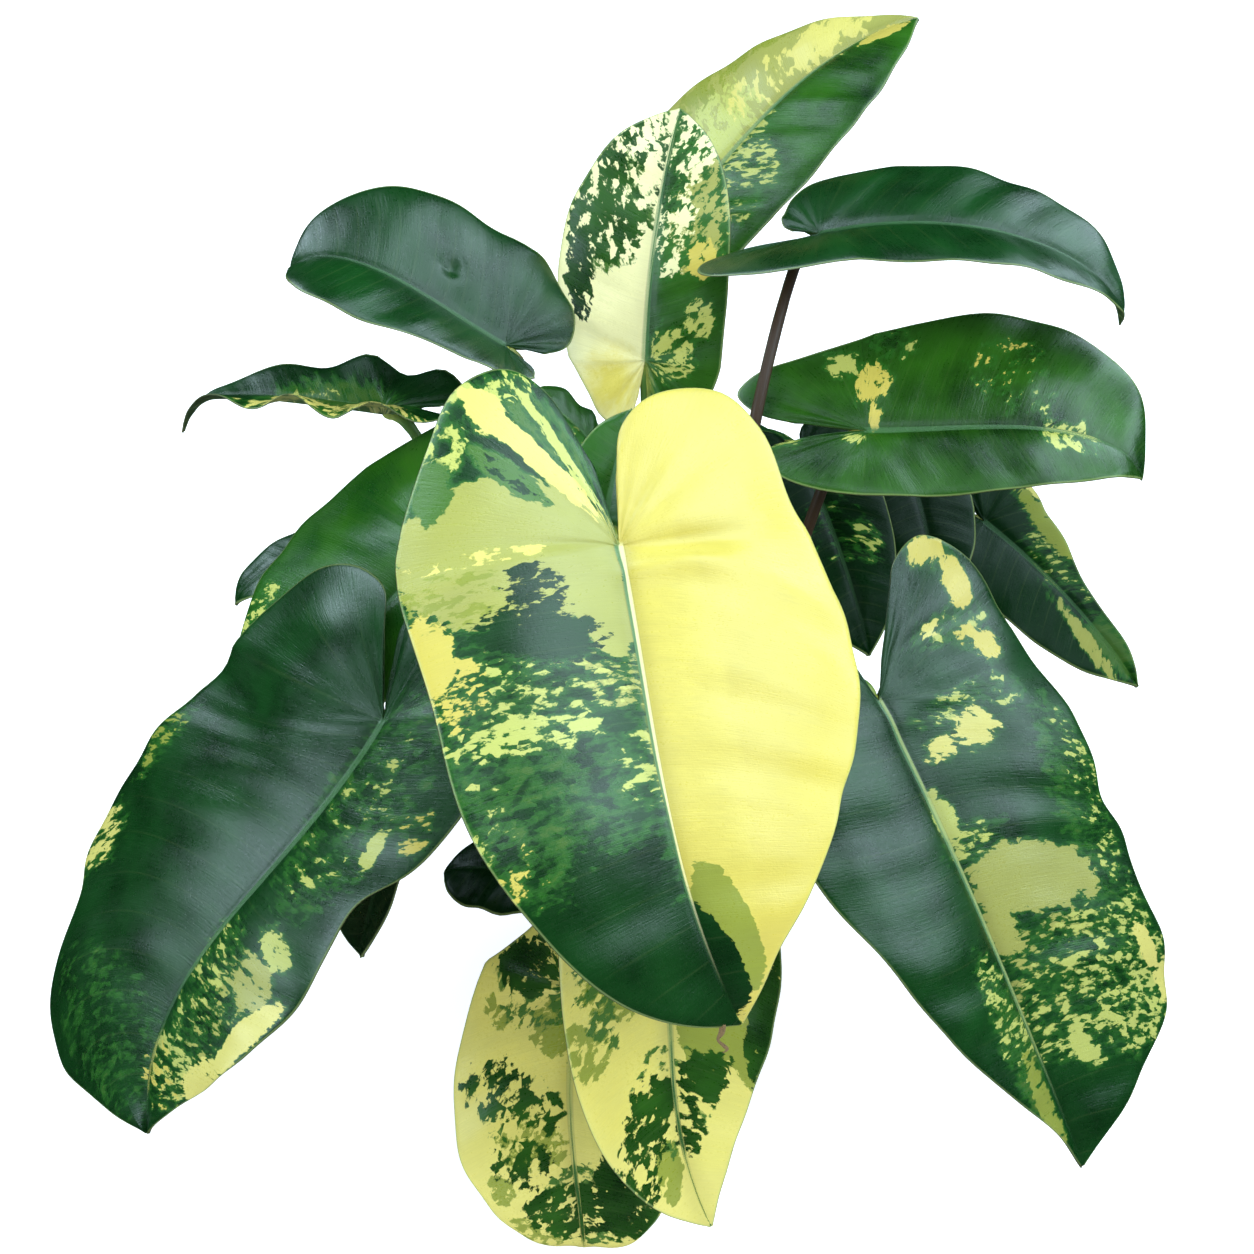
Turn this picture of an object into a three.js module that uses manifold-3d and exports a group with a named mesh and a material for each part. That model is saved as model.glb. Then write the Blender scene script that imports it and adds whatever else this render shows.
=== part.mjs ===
// A variegated heart-leaf philodendron in a plain round nursery pot, in millimetres, Z up.
// The origin is the middle of the pot's flat bottom, and the plant's best side faces -Y.
// Four short stems stand in the soil. Each leaf is a stalk seated in a stem and a thin blade on the stalk.

import * as THREE from 'three';
import { mergeVertices } from 'three/addons/utils/BufferGeometryUtils.js';
import Module from 'manifold-3d';

const wasm = await Module();
wasm.setup();

const GAP = 0.3; // clearance between two pieces that meet
const SOCKET_GAP = 0.5; // clearance round a stalk in its socket
const SEAT_GAP = 0.4; // clearance between a stalk's end and the blade above it

// The pot: a tapered plastic shell with a rolled rim and drain holes in its floor.
const POT = {
  height: 122, baseRadius: 47, rimRadius: 63, wall: 2, floor: 3,
  lipHeight: 13, lipOut: 3, facets: 40, holeRadius: 4.5, holeCircle: 30, holes: 6,
};

// The soil fills the pot to a little under the rim, and its top is uneven.
const SOIL = { below: 12, dome: 5, bumps: 1.6, rings: 4, sectors: 24 };

// The stems: their radius and their depth in the soil, where each one stands, and its top.
const STEM = { radius: 9, depth: 34, sides: 14, rings: 6 };
const STEMS = {
  front: { foot: [-4, -20], top: [-8, -30, 150] },
  right: { foot: [22, 10], top: [28, 14, 158] },
  left: { foot: [-20, 14], top: [-24, 18, 156] },
  back: { foot: [2, 36], top: [4, 44, 150] },
};

// The leaf stalks are round and thin towards the blade.
const STALK = { base: 3.3, top: 2.3, sink: 4, sides: 6, rings: 10 };

// The blades: thickness, the rib under the blade, and how finely a blade is divided.
const BLADE = {
  thickness: 0.8, ribDepth: 3.2, ribHalfWidth: 2.6, tipHalfWidth: 0.9, rowsLeast: 8, rowPitch: 32,
};

// Halves of a blade's outline, from the inner edge of the lobe, round the lobe, to the tip.
// Along: 1 is the tip and -1 the end of the lobe, with the stalk at 0. Across: 1 is the half's full width.
const OUTLINES = {
  heart: [
    [-0.7, 0.14], [-0.94, 0.26], [-1.0, 0.44], [-0.84, 0.72], [-0.45, 0.91], [0, 1.0],
    [0.25, 1.0], [0.45, 0.96], [0.62, 0.84], [0.78, 0.62], [0.9, 0.34], [0.97, 0.12], [1.0, 0.015],
  ],
  full: [
    [-0.66, 0.11], [-0.92, 0.24], [-1.0, 0.38], [-0.88, 0.62], [-0.6, 0.77], [-0.2, 0.95],
    [0.1, 1.0], [0.35, 1.0], [0.55, 0.95], [0.74, 0.78], [0.9, 0.47], [0.98, 0.14], [1.0, 0.015],
  ],
  round: [
    [-0.7, 0.1], [-0.97, 0.28], [-1.0, 0.58], [-0.82, 0.82], [-0.3, 0.95], [0.08, 0.99],
    [0.28, 1.0], [0.44, 0.91], [0.58, 0.75], [0.73, 0.52], [0.87, 0.27], [0.96, 0.1], [1.0, 0.015],
  ],
  tapered: [
    [-0.42, 0.04], [-0.82, 0.2], [-0.95, 0.38], [-0.86, 0.6], [-0.55, 0.78], [-0.15, 0.96],
    [0.06, 1.0], [0.28, 0.92], [0.5, 0.86], [0.68, 0.66], [0.82, 0.44], [0.93, 0.18], [1.0, 0.015],
  ],
  bellied: [
    [-0.45, 0.05], [-0.8, 0.13], [-0.98, 0.32], [-0.97, 0.63], [-0.68, 0.78], [-0.16, 0.85],
    [0.1, 0.96], [0.25, 1.0], [0.42, 0.96], [0.56, 0.83], [0.72, 0.62], [0.88, 0.26], [1.0, 0.015],
  ],
  notched: [
    [-0.3, 0.1], [-0.65, 0.21], [-0.94, 0.33], [-1.0, 0.52], [-0.86, 0.74], [-0.4, 0.92],
    [0.1, 0.99], [0.4, 1.0], [0.68, 1.0], [0.75, 0.83], [0.84, 0.82], [0.93, 0.88], [1.0, 0.015],
  ],
  tucked: [
    [-0.36, -0.19], [-0.62, -0.34], [-0.88, -0.38], [-1.0, -0.02], [-0.94, 0.6], [-0.3, 1.04],
    [0.12, 1.05], [0.25, 0.87], [0.4, 0.98], [0.6, 0.95], [0.76, 0.77], [0.9, 0.44], [1.0, 0.015],
  ],
  broad: [
    [-0.5, 0.24], [-0.88, 0.38], [-0.98, 0.58], [-0.7, 0.76], [0, 0.88], [0.2, 0.95],
    [0.4, 0.94], [0.52, 1.0], [0.62, 0.93], [0.76, 0.98], [0.87, 0.86], [0.94, 0.46], [1.0, 0.015],
  ],
  slim: [
    [-0.7, 0.14], [-0.94, 0.28], [-1.0, 0.46], [-0.84, 0.74], [-0.4, 0.95], [0, 1.0],
    [0.2, 0.98], [0.36, 0.84], [0.52, 0.68], [0.68, 0.46], [0.84, 0.2], [0.94, 0.07], [1.0, 0.015],
  ],
  spoon: [
    [-0.7, 0.12], [-0.95, 0.22], [-1.0, 0.36], [-0.7, 0.5], [-0.3, 0.58], [0.05, 0.66],
    [0.25, 0.8], [0.42, 0.94], [0.6, 1.0], [0.76, 0.92], [0.9, 0.62], [0.98, 0.2], [1.0, 0.015],
  ],
  closed: [
    [-0.75, 0.05], [-0.95, 0.16], [-1.0, 0.32], [-0.88, 0.58], [-0.55, 0.82], [-0.1, 0.97],
    [0.15, 1.0], [0.38, 0.99], [0.58, 0.93], [0.76, 0.76], [0.9, 0.47], [0.98, 0.14], [1.0, 0.015],
  ],
  drawn: [
    [-0.55, 0.06], [-0.85, 0.14], [-1.0, 0.3], [-0.88, 0.46], [-0.55, 0.6], [-0.12, 0.79],
    [0.12, 0.92], [0.32, 1.0], [0.52, 0.98], [0.7, 0.8], [0.86, 0.54], [0.96, 0.22], [1.0, 0.015],
  ],
  swelling: [
    [-0.6, 0.08], [-0.88, 0.2], [-1.0, 0.4], [-0.85, 0.6], [-0.5, 0.74], [-0.1, 0.86],
    [0.12, 0.95], [0.28, 1.0], [0.4, 0.96], [0.55, 0.85], [0.72, 0.6], [0.88, 0.3], [1.0, 0.015],
  ],
  pinched: [
    [-0.7, 0.14], [-0.94, 0.28], [-1.0, 0.46], [-0.84, 0.74], [-0.4, 0.95], [0, 1.0],
    [0.14, 0.8], [0.28, 0.66], [0.42, 0.46], [0.6, 0.3], [0.8, 0.25], [0.93, 0.12], [1.0, 0.015],
  ],
};

// The leaves. joint is where the stalk meets the blade, and tip is the blade's point.
// shape, half, lobe, fold and curl hold the value left of the rib and the value right of it,
// for someone who faces the blade's upper side with the tip down.
// shape: the outline. half: width from rib to edge. lobe: reach of the lobe behind the joint.
// roll: how far the right side turns up about the line from joint to tip, in degrees.
// rise and fall: how steeply the rib leaves that line at the joint and comes back to it at the tip.
// sway: how far the rib leaves that line to the right at the joint, and runs to the right at the tip.
// fold: how far a half turns up from flat. curl: how far it bends down again towards its edge.
// lift: how far the lobes bend up. hook: how far the point turns down. wave: height, number and phase.
// stem and seat: the stem that the stalk grows from, and its height there. via: where the stalk passes.
const LEAVES = [
  {
    name: 'front_centre', stem: 'front', seat: 148, via: [-12, -48, 240],
    joint: [-14, -84, 336], tip: [31, -214, 221], roll: 0, rise: 16, fall: 32, sway: [-7.5, 24],
    shape: ['tapered', 'bellied'], half: [83, 82], lobe: [83, 63], fold: [16, 16], curl: [34, 40],
    lift: -10, hook: 4, wave: [1.5, 2, 0.4],
  },
  {
    name: 'front_left', stem: 'left', seat: 136, via: [-66, -34, 212],
    joint: [-106, -91, 253], tip: [-210, -174, 96], roll: 0, rise: 16, fall: 12, sway: [14, 28],
    shape: ['notched', 'tucked'], half: [101, 54], lobe: [51, 54], fold: [8, 13], curl: [26, 17],
    lift: 0, hook: 3, wave: [3, 2.5, 0.4],
  },
  {
    name: 'front_right', stem: 'right', seat: 140, via: [60, -26, 190],
    joint: [88, -80, 253], tip: [178, -182, 84], roll: 0, rise: 14, fall: 6, sway: [-6, 4],
    shape: ['slim', 'broad'], half: [70, 95], lobe: [56, 54], fold: [22, 8], curl: [30, 26],
    lift: 0, hook: 2, wave: [2.4, 2.5, 0.4],
  },
  {
    name: 'low_centre', stem: 'front', seat: 138, via: [0, -72, 176],
    joint: [2, -112, 188], tip: [24, -203, 72], roll: 0, rise: 14, fall: 10, sway: [-3, 19],
    shape: ['heart', 'round'], half: [44, 47], lobe: [36, 36], fold: [10, 10], curl: [22, 22],
    lift: 0, hook: 2, wave: [1, 2, 0.4],
  },
  {
    name: 'low_left', stem: 'front', seat: 126, via: [-26, -78, 142],
    joint: [-30, -119, 120], tip: [-30, -180, 8], roll: 0, rise: 10, fall: 40, sway: [-16, -4],
    shape: ['drawn', 'full'], half: [51, 48], lobe: [30, 34], fold: [6, 6], curl: [30, 30],
    lift: 0, hook: 6, wave: [1, 2, 0.4],
  },
  {
    name: 'top_centre', stem: 'back', seat: 147, via: [-2, 66, 226],
    joint: [-3, 91, 297], tip: [12, 151, 388], roll: 0, rise: 10, fall: 10, sway: [4, -4],
    shape: ['closed', 'drawn'], half: [35, 42], lobe: [30, 30], fold: [10, 10], curl: [22, 22],
    lift: 0, hook: 2, wave: [1, 2, 0.4],
  },
  {
    name: 'top_right', stem: 'back', seat: 131, via: [14, 88, 228],
    joint: [10, 155, 330], tip: [123, 226, 396], roll: 0, rise: 10, fall: 10, sway: [3, -19],
    shape: ['full', 'round'], half: [46, 52], lobe: [30, 30], fold: [10, 10], curl: [22, 22],
    lift: 0, hook: 2, wave: [1, 2, 0.4],
  },
  {
    name: 'upper_right', stem: 'right', seat: 153, via: [40, 30, 288],
    joint: [70, 90, 362], tip: [201, 62, 337], roll: 8, rise: 34, fall: 48, sway: [0, 0],
    shape: ['heart', 'heart'], half: [34, 41], lobe: [52, 20], fold: [24, 10], curl: [22, 22],
    lift: 0, hook: 6, wave: [1, 2, 0.4],
  },
  {
    name: 'mid_right', stem: 'right', seat: 144, via: [62, 22, 236],
    joint: [90, 35, 300], tip: [209, 15, 293], roll: 22, rise: 10, fall: 30, sway: [3, -16],
    shape: ['heart', 'drawn'], half: [32, 58], lobe: [42, 57], fold: [10, 10], curl: [22, 22],
    lift: 0, hook: 8, wave: [1, 2, 0.4],
  },
  {
    name: 'upper_left', stem: 'left', seat: 151, via: [-44, 44, 234],
    joint: [-63, 69, 320], tip: [-156, 85, 351], roll: -16, rise: 14, fall: 40, sway: [0, 16],
    shape: ['full', 'spoon'], half: [54, 38], lobe: [27, 16], fold: [10, 30], curl: [22, 22],
    lift: 0, hook: 5, wave: [1, 2, 0.4],
  },
  {
    name: 'mid_left', stem: 'left', seat: 140, via: [-76, 36, 232],
    joint: [-116, 60, 294], tip: [-208, 66, 293], roll: 22, rise: 4, fall: 10, sway: [0, 0],
    shape: ['slim', 'heart'], half: [30, 32], lobe: [34, 30], fold: [30, 16], curl: [10, 10],
    lift: 0, hook: 14, wave: [4, 2.5, 0.1],
  },
  {
    name: 'left_green', stem: 'left', seat: 148, via: [-60, -4, 220],
    joint: [-86, -17, 279], tip: [-169, -73, 181], roll: 0, rise: 14, fall: 20, sway: [0, 0],
    shape: ['swelling', 'heart'], half: [79, 34], lobe: [58, 36], fold: [8, 8], curl: [26, 26],
    lift: 0, hook: 3, wave: [1, 2, 0.4],
  },
  {
    name: 'left_low_tip', stem: 'left', seat: 130, via: [-88, 46, 178],
    joint: [-142, 66, 214], tip: [-194, 45, 195], roll: 0, rise: 20, fall: 24, sway: [0, 0],
    shape: ['heart', 'heart'], half: [18, 18], lobe: [16, 16], fold: [10, 10], curl: [22, 22],
    lift: 0, hook: 3, wave: [1, 2, 0.4],
  },
  {
    name: 'right_inner', stem: 'right', seat: 136, via: [46, 52, 198],
    joint: [69, 90, 245], tip: [98, 7, 197], roll: 0, rise: 14, fall: 10, sway: [0, 0],
    shape: ['heart', 'heart'], half: [36, 30], lobe: [18, 18], fold: [10, 10], curl: [22, 22],
    lift: 0, hook: 3, wave: [1, 2, 0.4],
  },
  {
    name: 'right_back', stem: 'right', seat: 127, via: [80, 46, 188],
    joint: [122, 101, 228], tip: [132, 38, 202], roll: 0, rise: 14, fall: 10, sway: [0, 0],
    shape: ['heart', 'heart'], half: [26, 26], lobe: [20, 20], fold: [10, 10], curl: [22, 22],
    lift: 0, hook: 3, wave: [1, 2, 0.4],
  },
  {
    name: 'right_low', stem: 'right', seat: 119, via: [112, 12, 152],
    joint: [159, 93, 204], tip: [228, 26, 160], roll: 10, rise: 14, fall: 10, sway: [0, 0],
    shape: ['heart', 'pinched'], half: [34, 33], lobe: [34, 30], fold: [14, 14], curl: [22, 22],
    lift: 0, hook: 3, wave: [1, 2, 0.4],
  },
  {
    name: 'back_left', stem: 'back', seat: 139, via: [-18, 68, 204],
    joint: [-28, 95, 250], tip: [-56, 97, 276], roll: 0, rise: 14, fall: 10, sway: [0, 0],
    shape: ['heart', 'heart'], half: [20, 20], lobe: [18, 18], fold: [10, 10], curl: [22, 22],
    lift: 0, hook: 2, wave: [1, 2, 0.4],
  },
  {
    name: 'back_inner', stem: 'front', seat: 146, via: [-18, -12, 220],
    joint: [-20, 0, 280], tip: [-9, 31, 314], roll: 0, rise: 14, fall: 10, sway: [0, 0],
    shape: ['heart', 'heart'], half: [20, 20], lobe: [16, 16], fold: [10, 10], curl: [22, 22],
    lift: 0, hook: 2, wave: [1, 2, 0.4],
  },
  {
    name: 'low_dark', stem: 'left', seat: 120, via: [-38, -40, 132],
    joint: [-56, -74, 144], tip: [-92, -64, 134], roll: 0, rise: 14, fall: 10, sway: [0, 0],
    shape: ['heart', 'heart'], half: [24, 24], lobe: [20, 20], fold: [10, 10], curl: [22, 22],
    lift: 0, hook: 2, wave: [1, 2, 0.4],
  },
  {
    name: 'under_left', stem: 'left', seat: 128, via: [-70, -26, 150],
    joint: [-110, -66, 160], tip: [-128, -98, 114], roll: 0, rise: 14, fall: 10, sway: [0, 0],
    shape: ['heart', 'heart'], half: [22, 10], lobe: [20, 20], fold: [10, 10], curl: [22, 22],
    lift: 0, hook: 2, wave: [1, 2, 0.4],
  },
  {
    name: 'back_low_left', stem: 'back', seat: 123, via: [-38, 68, 186],
    joint: [-60, 120, 218], tip: [-108, 190, 150], roll: 0, rise: 16, fall: 14, sway: [0, 0],
    shape: ['heart', 'heart'], half: [36, 36], lobe: [34, 34], fold: [12, 12], curl: [26, 26],
    lift: 0, hook: 3, wave: [2, 2, 0.3],
  },
  {
    name: 'back_low_right', stem: 'back', seat: 123, via: [46, 78, 184],
    joint: [50, 144, 210], tip: [94, 214, 146], roll: 0, rise: 16, fall: 14, sway: [0, 0],
    shape: ['heart', 'heart'], half: [34, 34], lobe: [32, 32], fold: [12, 12], curl: [26, 26],
    lift: 0, hook: 3, wave: [2, 2, 0.3],
  },
  {
    name: 'back_low_centre', stem: 'back', seat: 116, via: [2, 88, 150],
    joint: [-4, 130, 156], tip: [-16, 208, 62], roll: 0, rise: 18, fall: 14, sway: [0, 0],
    shape: ['heart', 'heart'], half: [40, 40], lobe: [36, 34], fold: [12, 12], curl: [26, 26],
    lift: 0, hook: 3, wave: [2, 2, 0.1],
  },
];

const radians = THREE.MathUtils.degToRad;
const vector = (p) => new THREE.Vector3(...p);
const SOIL_TOP = POT.height - SOIL.below;

// Solids from closed geometry, and back.
function solid(geometry) {
  const bare = new THREE.BufferGeometry().setAttribute('position', geometry.getAttribute('position'));
  bare.setIndex(geometry.index);
  const merged = mergeVertices(bare, 1e-3);
  return new wasm.Manifold(new wasm.Mesh({
    numProp: 3,
    vertProperties: merged.attributes.position.array,
    triVerts: new Uint32Array(merged.index.array),
  }));
}

function geometryOf(made) {
  const { vertProperties, triVerts } = made.getMesh();
  return new THREE.BufferGeometry()
    .setAttribute('position', new THREE.BufferAttribute(vertProperties, 3))
    .setIndex(new THREE.BufferAttribute(triVerts, 1));
}

// A closed body from points and triangles, without the triangles that a shared point flattens.
function closedBody(points, faces) {
  const raw = new THREE.BufferGeometry()
    .setAttribute('position', new THREE.Float32BufferAttribute(points.flatMap((p) => p.toArray()), 3));
  raw.setIndex(faces.flat());
  const merged = mergeVertices(raw, 1e-3);
  const kept = [];
  const index = merged.index.array;
  for (let i = 0; i < index.length; i += 3) {
    const [a, b, c] = [index[i], index[i + 1], index[i + 2]];
    if (a !== b && b !== c && c !== a) kept.push(a, b, c);
  }
  merged.setIndex(kept);
  return merged;
}

// A round tube along a curve, with a radius for each share of its length, closed at both ends.
// across is a direction that no part of the curve runs along.
// grow swells the whole tube, so that it can cut a socket.
function taperedTube({ curve, across, radiusAt, rings, sides, spacing, grow }) {
  const points = [];
  const faces = [];
  const ends = [];
  for (let i = 0; i <= rings; i++) {
    const at = 1 - (1 - i / rings) ** spacing;
    const tangent = curve.getTangentAt(at);
    const past = (i === rings) - (i === 0);
    const centre = curve.getPointAt(at).addScaledVector(tangent, grow * past);
    const one = across.clone().addScaledVector(tangent, -across.dot(tangent)).normalize();
    const other = tangent.cross(one);
    for (let k = 0; k < sides; k++) {
      const angle = (k / sides) * 2 * Math.PI;
      points.push(centre.clone()
        .addScaledVector(one, Math.cos(angle) * (radiusAt(at) + grow))
        .addScaledVector(other, Math.sin(angle) * (radiusAt(at) + grow)));
    }
    if (i === 0 || i === rings) ends.push(centre);
  }
  for (let i = 0; i < rings; i++) {
    for (let k = 0; k < sides; k++) {
      const next = (k + 1) % sides;
      const [a, b, c, d] = [i * sides + k, i * sides + next, (i + 1) * sides + next, (i + 1) * sides + k];
      faces.push([a, b, c], [a, c, d]);
    }
  }
  const first = points.length;
  points.push(...ends);
  for (let k = 0; k < sides; k++) {
    const next = (k + 1) % sides;
    faces.push([first, next, k], [first + 1, rings * sides + k, rings * sides + next]);
  }
  return closedBody(points, faces);
}

const outlineCurves = Object.fromEntries(Object.entries(OUTLINES).map(([name, points]) => [
  name,
  new THREE.CatmullRomCurve3(points.map((p) => vector([...p, 0])), false, 'centripetal'),
]));

// A blade's form. It says where a point of the flat blade lies in space:
// along from the joint towards the tip, and across from the rib, on side -1 (left) or 1 (right).
class BladeForm {
  constructor(leaf) {
    this.leaf = leaf;
    const joint = vector(leaf.joint);
    const tip = vector(leaf.tip);
    this.chord = tip.clone().sub(joint);
    const reach = this.chord.length();
    this.chord.normalize();
    const up = new THREE.Vector3(0, 0, 1);
    const normal = up.addScaledVector(this.chord, -up.dot(this.chord)).normalize();
    normal.applyAxisAngle(this.chord, radians(leaf.roll));
    this.right = normal.clone().cross(this.chord);
    const heading = (pitch, yaw) => this.chord.clone()
      .addScaledVector(normal, Math.tan(radians(pitch)))
      .addScaledVector(this.right, Math.tan(radians(yaw)))
      .normalize();
    const leave = heading(leaf.rise, leaf.sway[0]);
    const arrive = heading(-leaf.fall, leaf.sway[1]);
    this.rib = new THREE.CubicBezierCurve3(
      joint,
      joint.clone().addScaledVector(leave, reach * 0.38),
      tip.clone().addScaledVector(arrive, -reach * 0.38),
      tip,
    );
    this.length = this.rib.getLength();
    this.lobe = Math.max(...leaf.lobe);
    this.outlines = leaf.shape.map((shape) => outlineCurves[shape]);
  }

  // The rib's place and its directions at a distance along.
  // Behind the joint the line runs on, bent by lift.
  frame(along) {
    const share = THREE.MathUtils.clamp(along / this.length, 0, 1);
    const place = this.rib.getPointAt(share);
    const tangent = this.rib.getTangentAt(share);
    const right = this.right.clone().addScaledVector(tangent, -this.right.dot(tangent)).normalize();
    const normal = tangent.clone().cross(right);
    if (along < 0) {
      const bend = (radians(this.leaf.lift) * -along) / this.lobe;
      place.addScaledVector(tangent, along * Math.cos(bend / 2));
      place.addScaledVector(normal, -along * Math.sin(bend / 2));
      normal.multiplyScalar(Math.cos(bend)).addScaledVector(tangent, Math.sin(bend));
      return { place, tangent, right, normal };
    }
    const past = Math.max(0, (share - 0.8) / 0.2);
    place.addScaledVector(normal, -this.leaf.hook * past * past);
    return { place, tangent, right, normal };
  }

  at(along, across, side) {
    const { leaf } = this;
    const half = side > 0 ? 1 : 0;
    const { place, normal, right } = this.frame(along);
    const fold = radians(leaf.fold[half]);
    const curl = radians(leaf.curl[half]) + 1e-4;
    const width = leaf.half[half];
    const end = fold - (curl * across) / width;
    const out = (width / curl) * (Math.sin(fold) - Math.sin(end));
    const [height, count, phase] = leaf.wave;
    const ripple = height * Math.sin(2 * Math.PI * (count * (along / this.length) + phase + 0.21 * side));
    const rise = (width / curl) * (Math.cos(end) - Math.cos(fold)) + ripple * (across / width) ** 2;
    return place.addScaledVector(right, side * out).addScaledVector(normal, rise);
  }

  normalAt(along, across, side) {
    if (Math.abs(across) < 1e-6) return this.frame(along).normal;
    const step = 0.5;
    const forward = this.at(along + step, across, side).sub(this.at(along - step, across, side));
    const outward = this.at(along, across + step, side).sub(this.at(along, across - step, side));
    return outward.multiplyScalar(side).cross(forward).normalize().negate();
  }

  // The outline's point at a share of the way round, from the lobe's inner edge to the tip,
  // in millimetres on the flat blade.
  edge(share, side) {
    const half = side > 0 ? 1 : 0;
    const point = this.outlines[half].getPoint(share);
    const across = point.y * this.leaf.half[half];
    if (point.x < 0) return [point.x * this.leaf.lobe[half], across];
    return [point.x * this.length, Math.max(across, BLADE.tipHalfWidth)];
  }
}

// The blade as a closed body: rows follow the side veins from the rib to the edge, and columns cross them.
// VEIN_LEAD: how far ahead of its root a vein reaches the edge, as a share of the blade's length.
const VEIN_LEAD = 0.24;
const COLUMNS = [0.4, 0.72, 1];

function bladeGeometry(leaf) {
  const form = new BladeForm(leaf);
  const count = COLUMNS.length + 1;
  const last = Math.round(BLADE.rowsLeast + form.length / BLADE.rowPitch);
  const points = [];
  const width = 2 * count + 1;
  for (let i = 0; i <= last; i++) {
    const row = i / last;
    for (let column = -count; column <= count; column++) {
      const side = column < 0 ? -1 : 1;
      const [edgeAlong, edgeAcross] = form.edge(row, side);
      const lead = VEIN_LEAD * form.length * (edgeAcross / leaf.half[side > 0 ? 1 : 0]);
      const root = row === 1 ? form.length : Math.max(0, edgeAlong - lead);
      const reach = Math.hypot(edgeAcross, edgeAlong - root);
      const ribShare = Math.min(0.25, BLADE.ribHalfWidth / reach);
      const share = column === 0 ? 0 : [ribShare, ...COLUMNS][Math.abs(column) - 1];
      const along = root + (edgeAlong - root) * share;
      const across = edgeAcross * share;
      const normal = form.normalAt(along, across, side);
      const middle = form.at(along, across, side);
      const rib = column === 0 ? BLADE.ribDepth * (1 - 0.9 * (along / form.length)) : 0;
      points.push(middle.clone().addScaledVector(normal, BLADE.thickness / 2));
      points.push(middle.addScaledVector(normal, -BLADE.thickness / 2 - rib));
    }
  }
  const top = (i, j) => 2 * (i * width + j);
  const under = (i, j) => top(i, j) + 1;
  const faces = [];
  for (let i = 0; i < last; i++) {
    for (let j = 0; j < width - 1; j++) {
      const corners = [[i, j], [i + 1, j], [i + 1, j + 1], [i, j + 1]];
      const [a, b, c, d] = corners.map((p) => top(...p));
      const [e, f, g, h] = corners.map((p) => under(...p));
      faces.push([a, b, c], [a, c, d], [e, g, f], [e, h, g]);
    }
    for (const j of [0, width - 1]) {
      const wall = [top(i, j), top(i + 1, j), under(i + 1, j), under(i, j)];
      const [a, b, c, d] = j === 0 ? [...wall].reverse() : wall;
      faces.push([a, b, c], [a, c, d]);
    }
  }
  for (const i of [0, last]) {
    for (let j = 0; j < width - 1; j++) {
      const wall = [top(i, j), top(i, j + 1), under(i, j + 1), under(i, j)];
      const [a, b, c, d] = i === 0 ? wall : [...wall].reverse();
      faces.push([a, b, c], [a, c, d]);
    }
  }
  return closedBody(points, faces);
}

// How far the rib's blunt back reaches behind the joint, at the height of the stalk's upper side.
// It is less where the notch between the lobes is wide, and full where one lobe tucks under the other.
function ribBack(form) {
  const leans = [-1, 1].map((side) => {
    const [along, across] = form.edge(0, side);
    return across > 0 ? -along / Math.hypot(along, across) : 1;
  });
  return BLADE.ribHalfWidth * (1 - SEAT_GAP / BLADE.ribDepth) * Math.max(...leans);
}

// A leaf stalk: from its seat in the stem, up past via, to the underside of the blade at the joint.
function stalkGeometry(leaf, grow = 0) {
  const form = new BladeForm(leaf);
  const { place, normal, tangent } = form.frame(0);
  const stem = STEMS[leaf.stem];
  const foot = vector([...stem.foot, SOIL_TOP]);
  const head = vector(stem.top);
  const axis = foot.clone().lerp(head, (leaf.seat - foot.z) / (head.z - foot.z));
  const via = vector(leaf.via);
  const outward = via.clone().sub(axis).setZ(0).normalize();
  const start = axis.clone().addScaledVector(outward, STEM.radius - STALK.sink);
  const drop = BLADE.thickness / 2 + SEAT_GAP + STALK.top;
  const end = place.clone().addScaledVector(normal, -drop).addScaledVector(tangent, -ribBack(form) - GAP);
  const straight = end.clone().addScaledVector(tangent, -2);
  const arrival = straight.clone().sub(via).normalize();
  const knuckle = straight.clone().addScaledVector(arrival.add(tangent).normalize(), -6);
  const sprout = start.clone().addScaledVector(outward, 11).add(new THREE.Vector3(0, 0, 10));
  const route = [start, sprout, via, knuckle, straight, end];
  return taperedTube({
    curve: new THREE.CatmullRomCurve3(route, false, 'centripetal'),
    across: new THREE.Vector3(-outward.y, outward.x, 0),
    radiusAt: (at) => STALK.base + (STALK.top - STALK.base) * at,
    rings: STALK.rings,
    sides: STALK.sides,
    spacing: 1.7,
    grow,
  });
}

// A stem: a knobbly round post that leans a little, with a rounded top.
function stemGeometry(stem, grow = 0) {
  const head = vector(stem.top);
  const foot = vector([...stem.foot, SOIL_TOP]);
  const down = foot.clone().sub(head).normalize();
  const base = foot.clone().addScaledVector(down, STEM.depth);
  const length = base.distanceTo(head);
  const radiusAt = (at) => {
    const nearTop = Math.max(0, 1 - (length * (1 - at)) / STEM.radius);
    return STEM.radius * Math.sqrt(1 - 0.8 * nearTop ** 2);
  };
  return taperedTube({
    curve: new THREE.LineCurve3(base, head),
    across: vector([1, 0, 0]),
    radiusAt,
    rings: STEM.rings,
    sides: STEM.sides,
    spacing: 1.6,
    grow,
  });
}

// An upright cylinder.
function cylinderAt(radius, x, y, bottom, top, sides) {
  return new THREE.CylinderGeometry(radius, radius, top - bottom, sides)
    .rotateX(Math.PI / 2).translate(x, y, (bottom + top) / 2);
}

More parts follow.
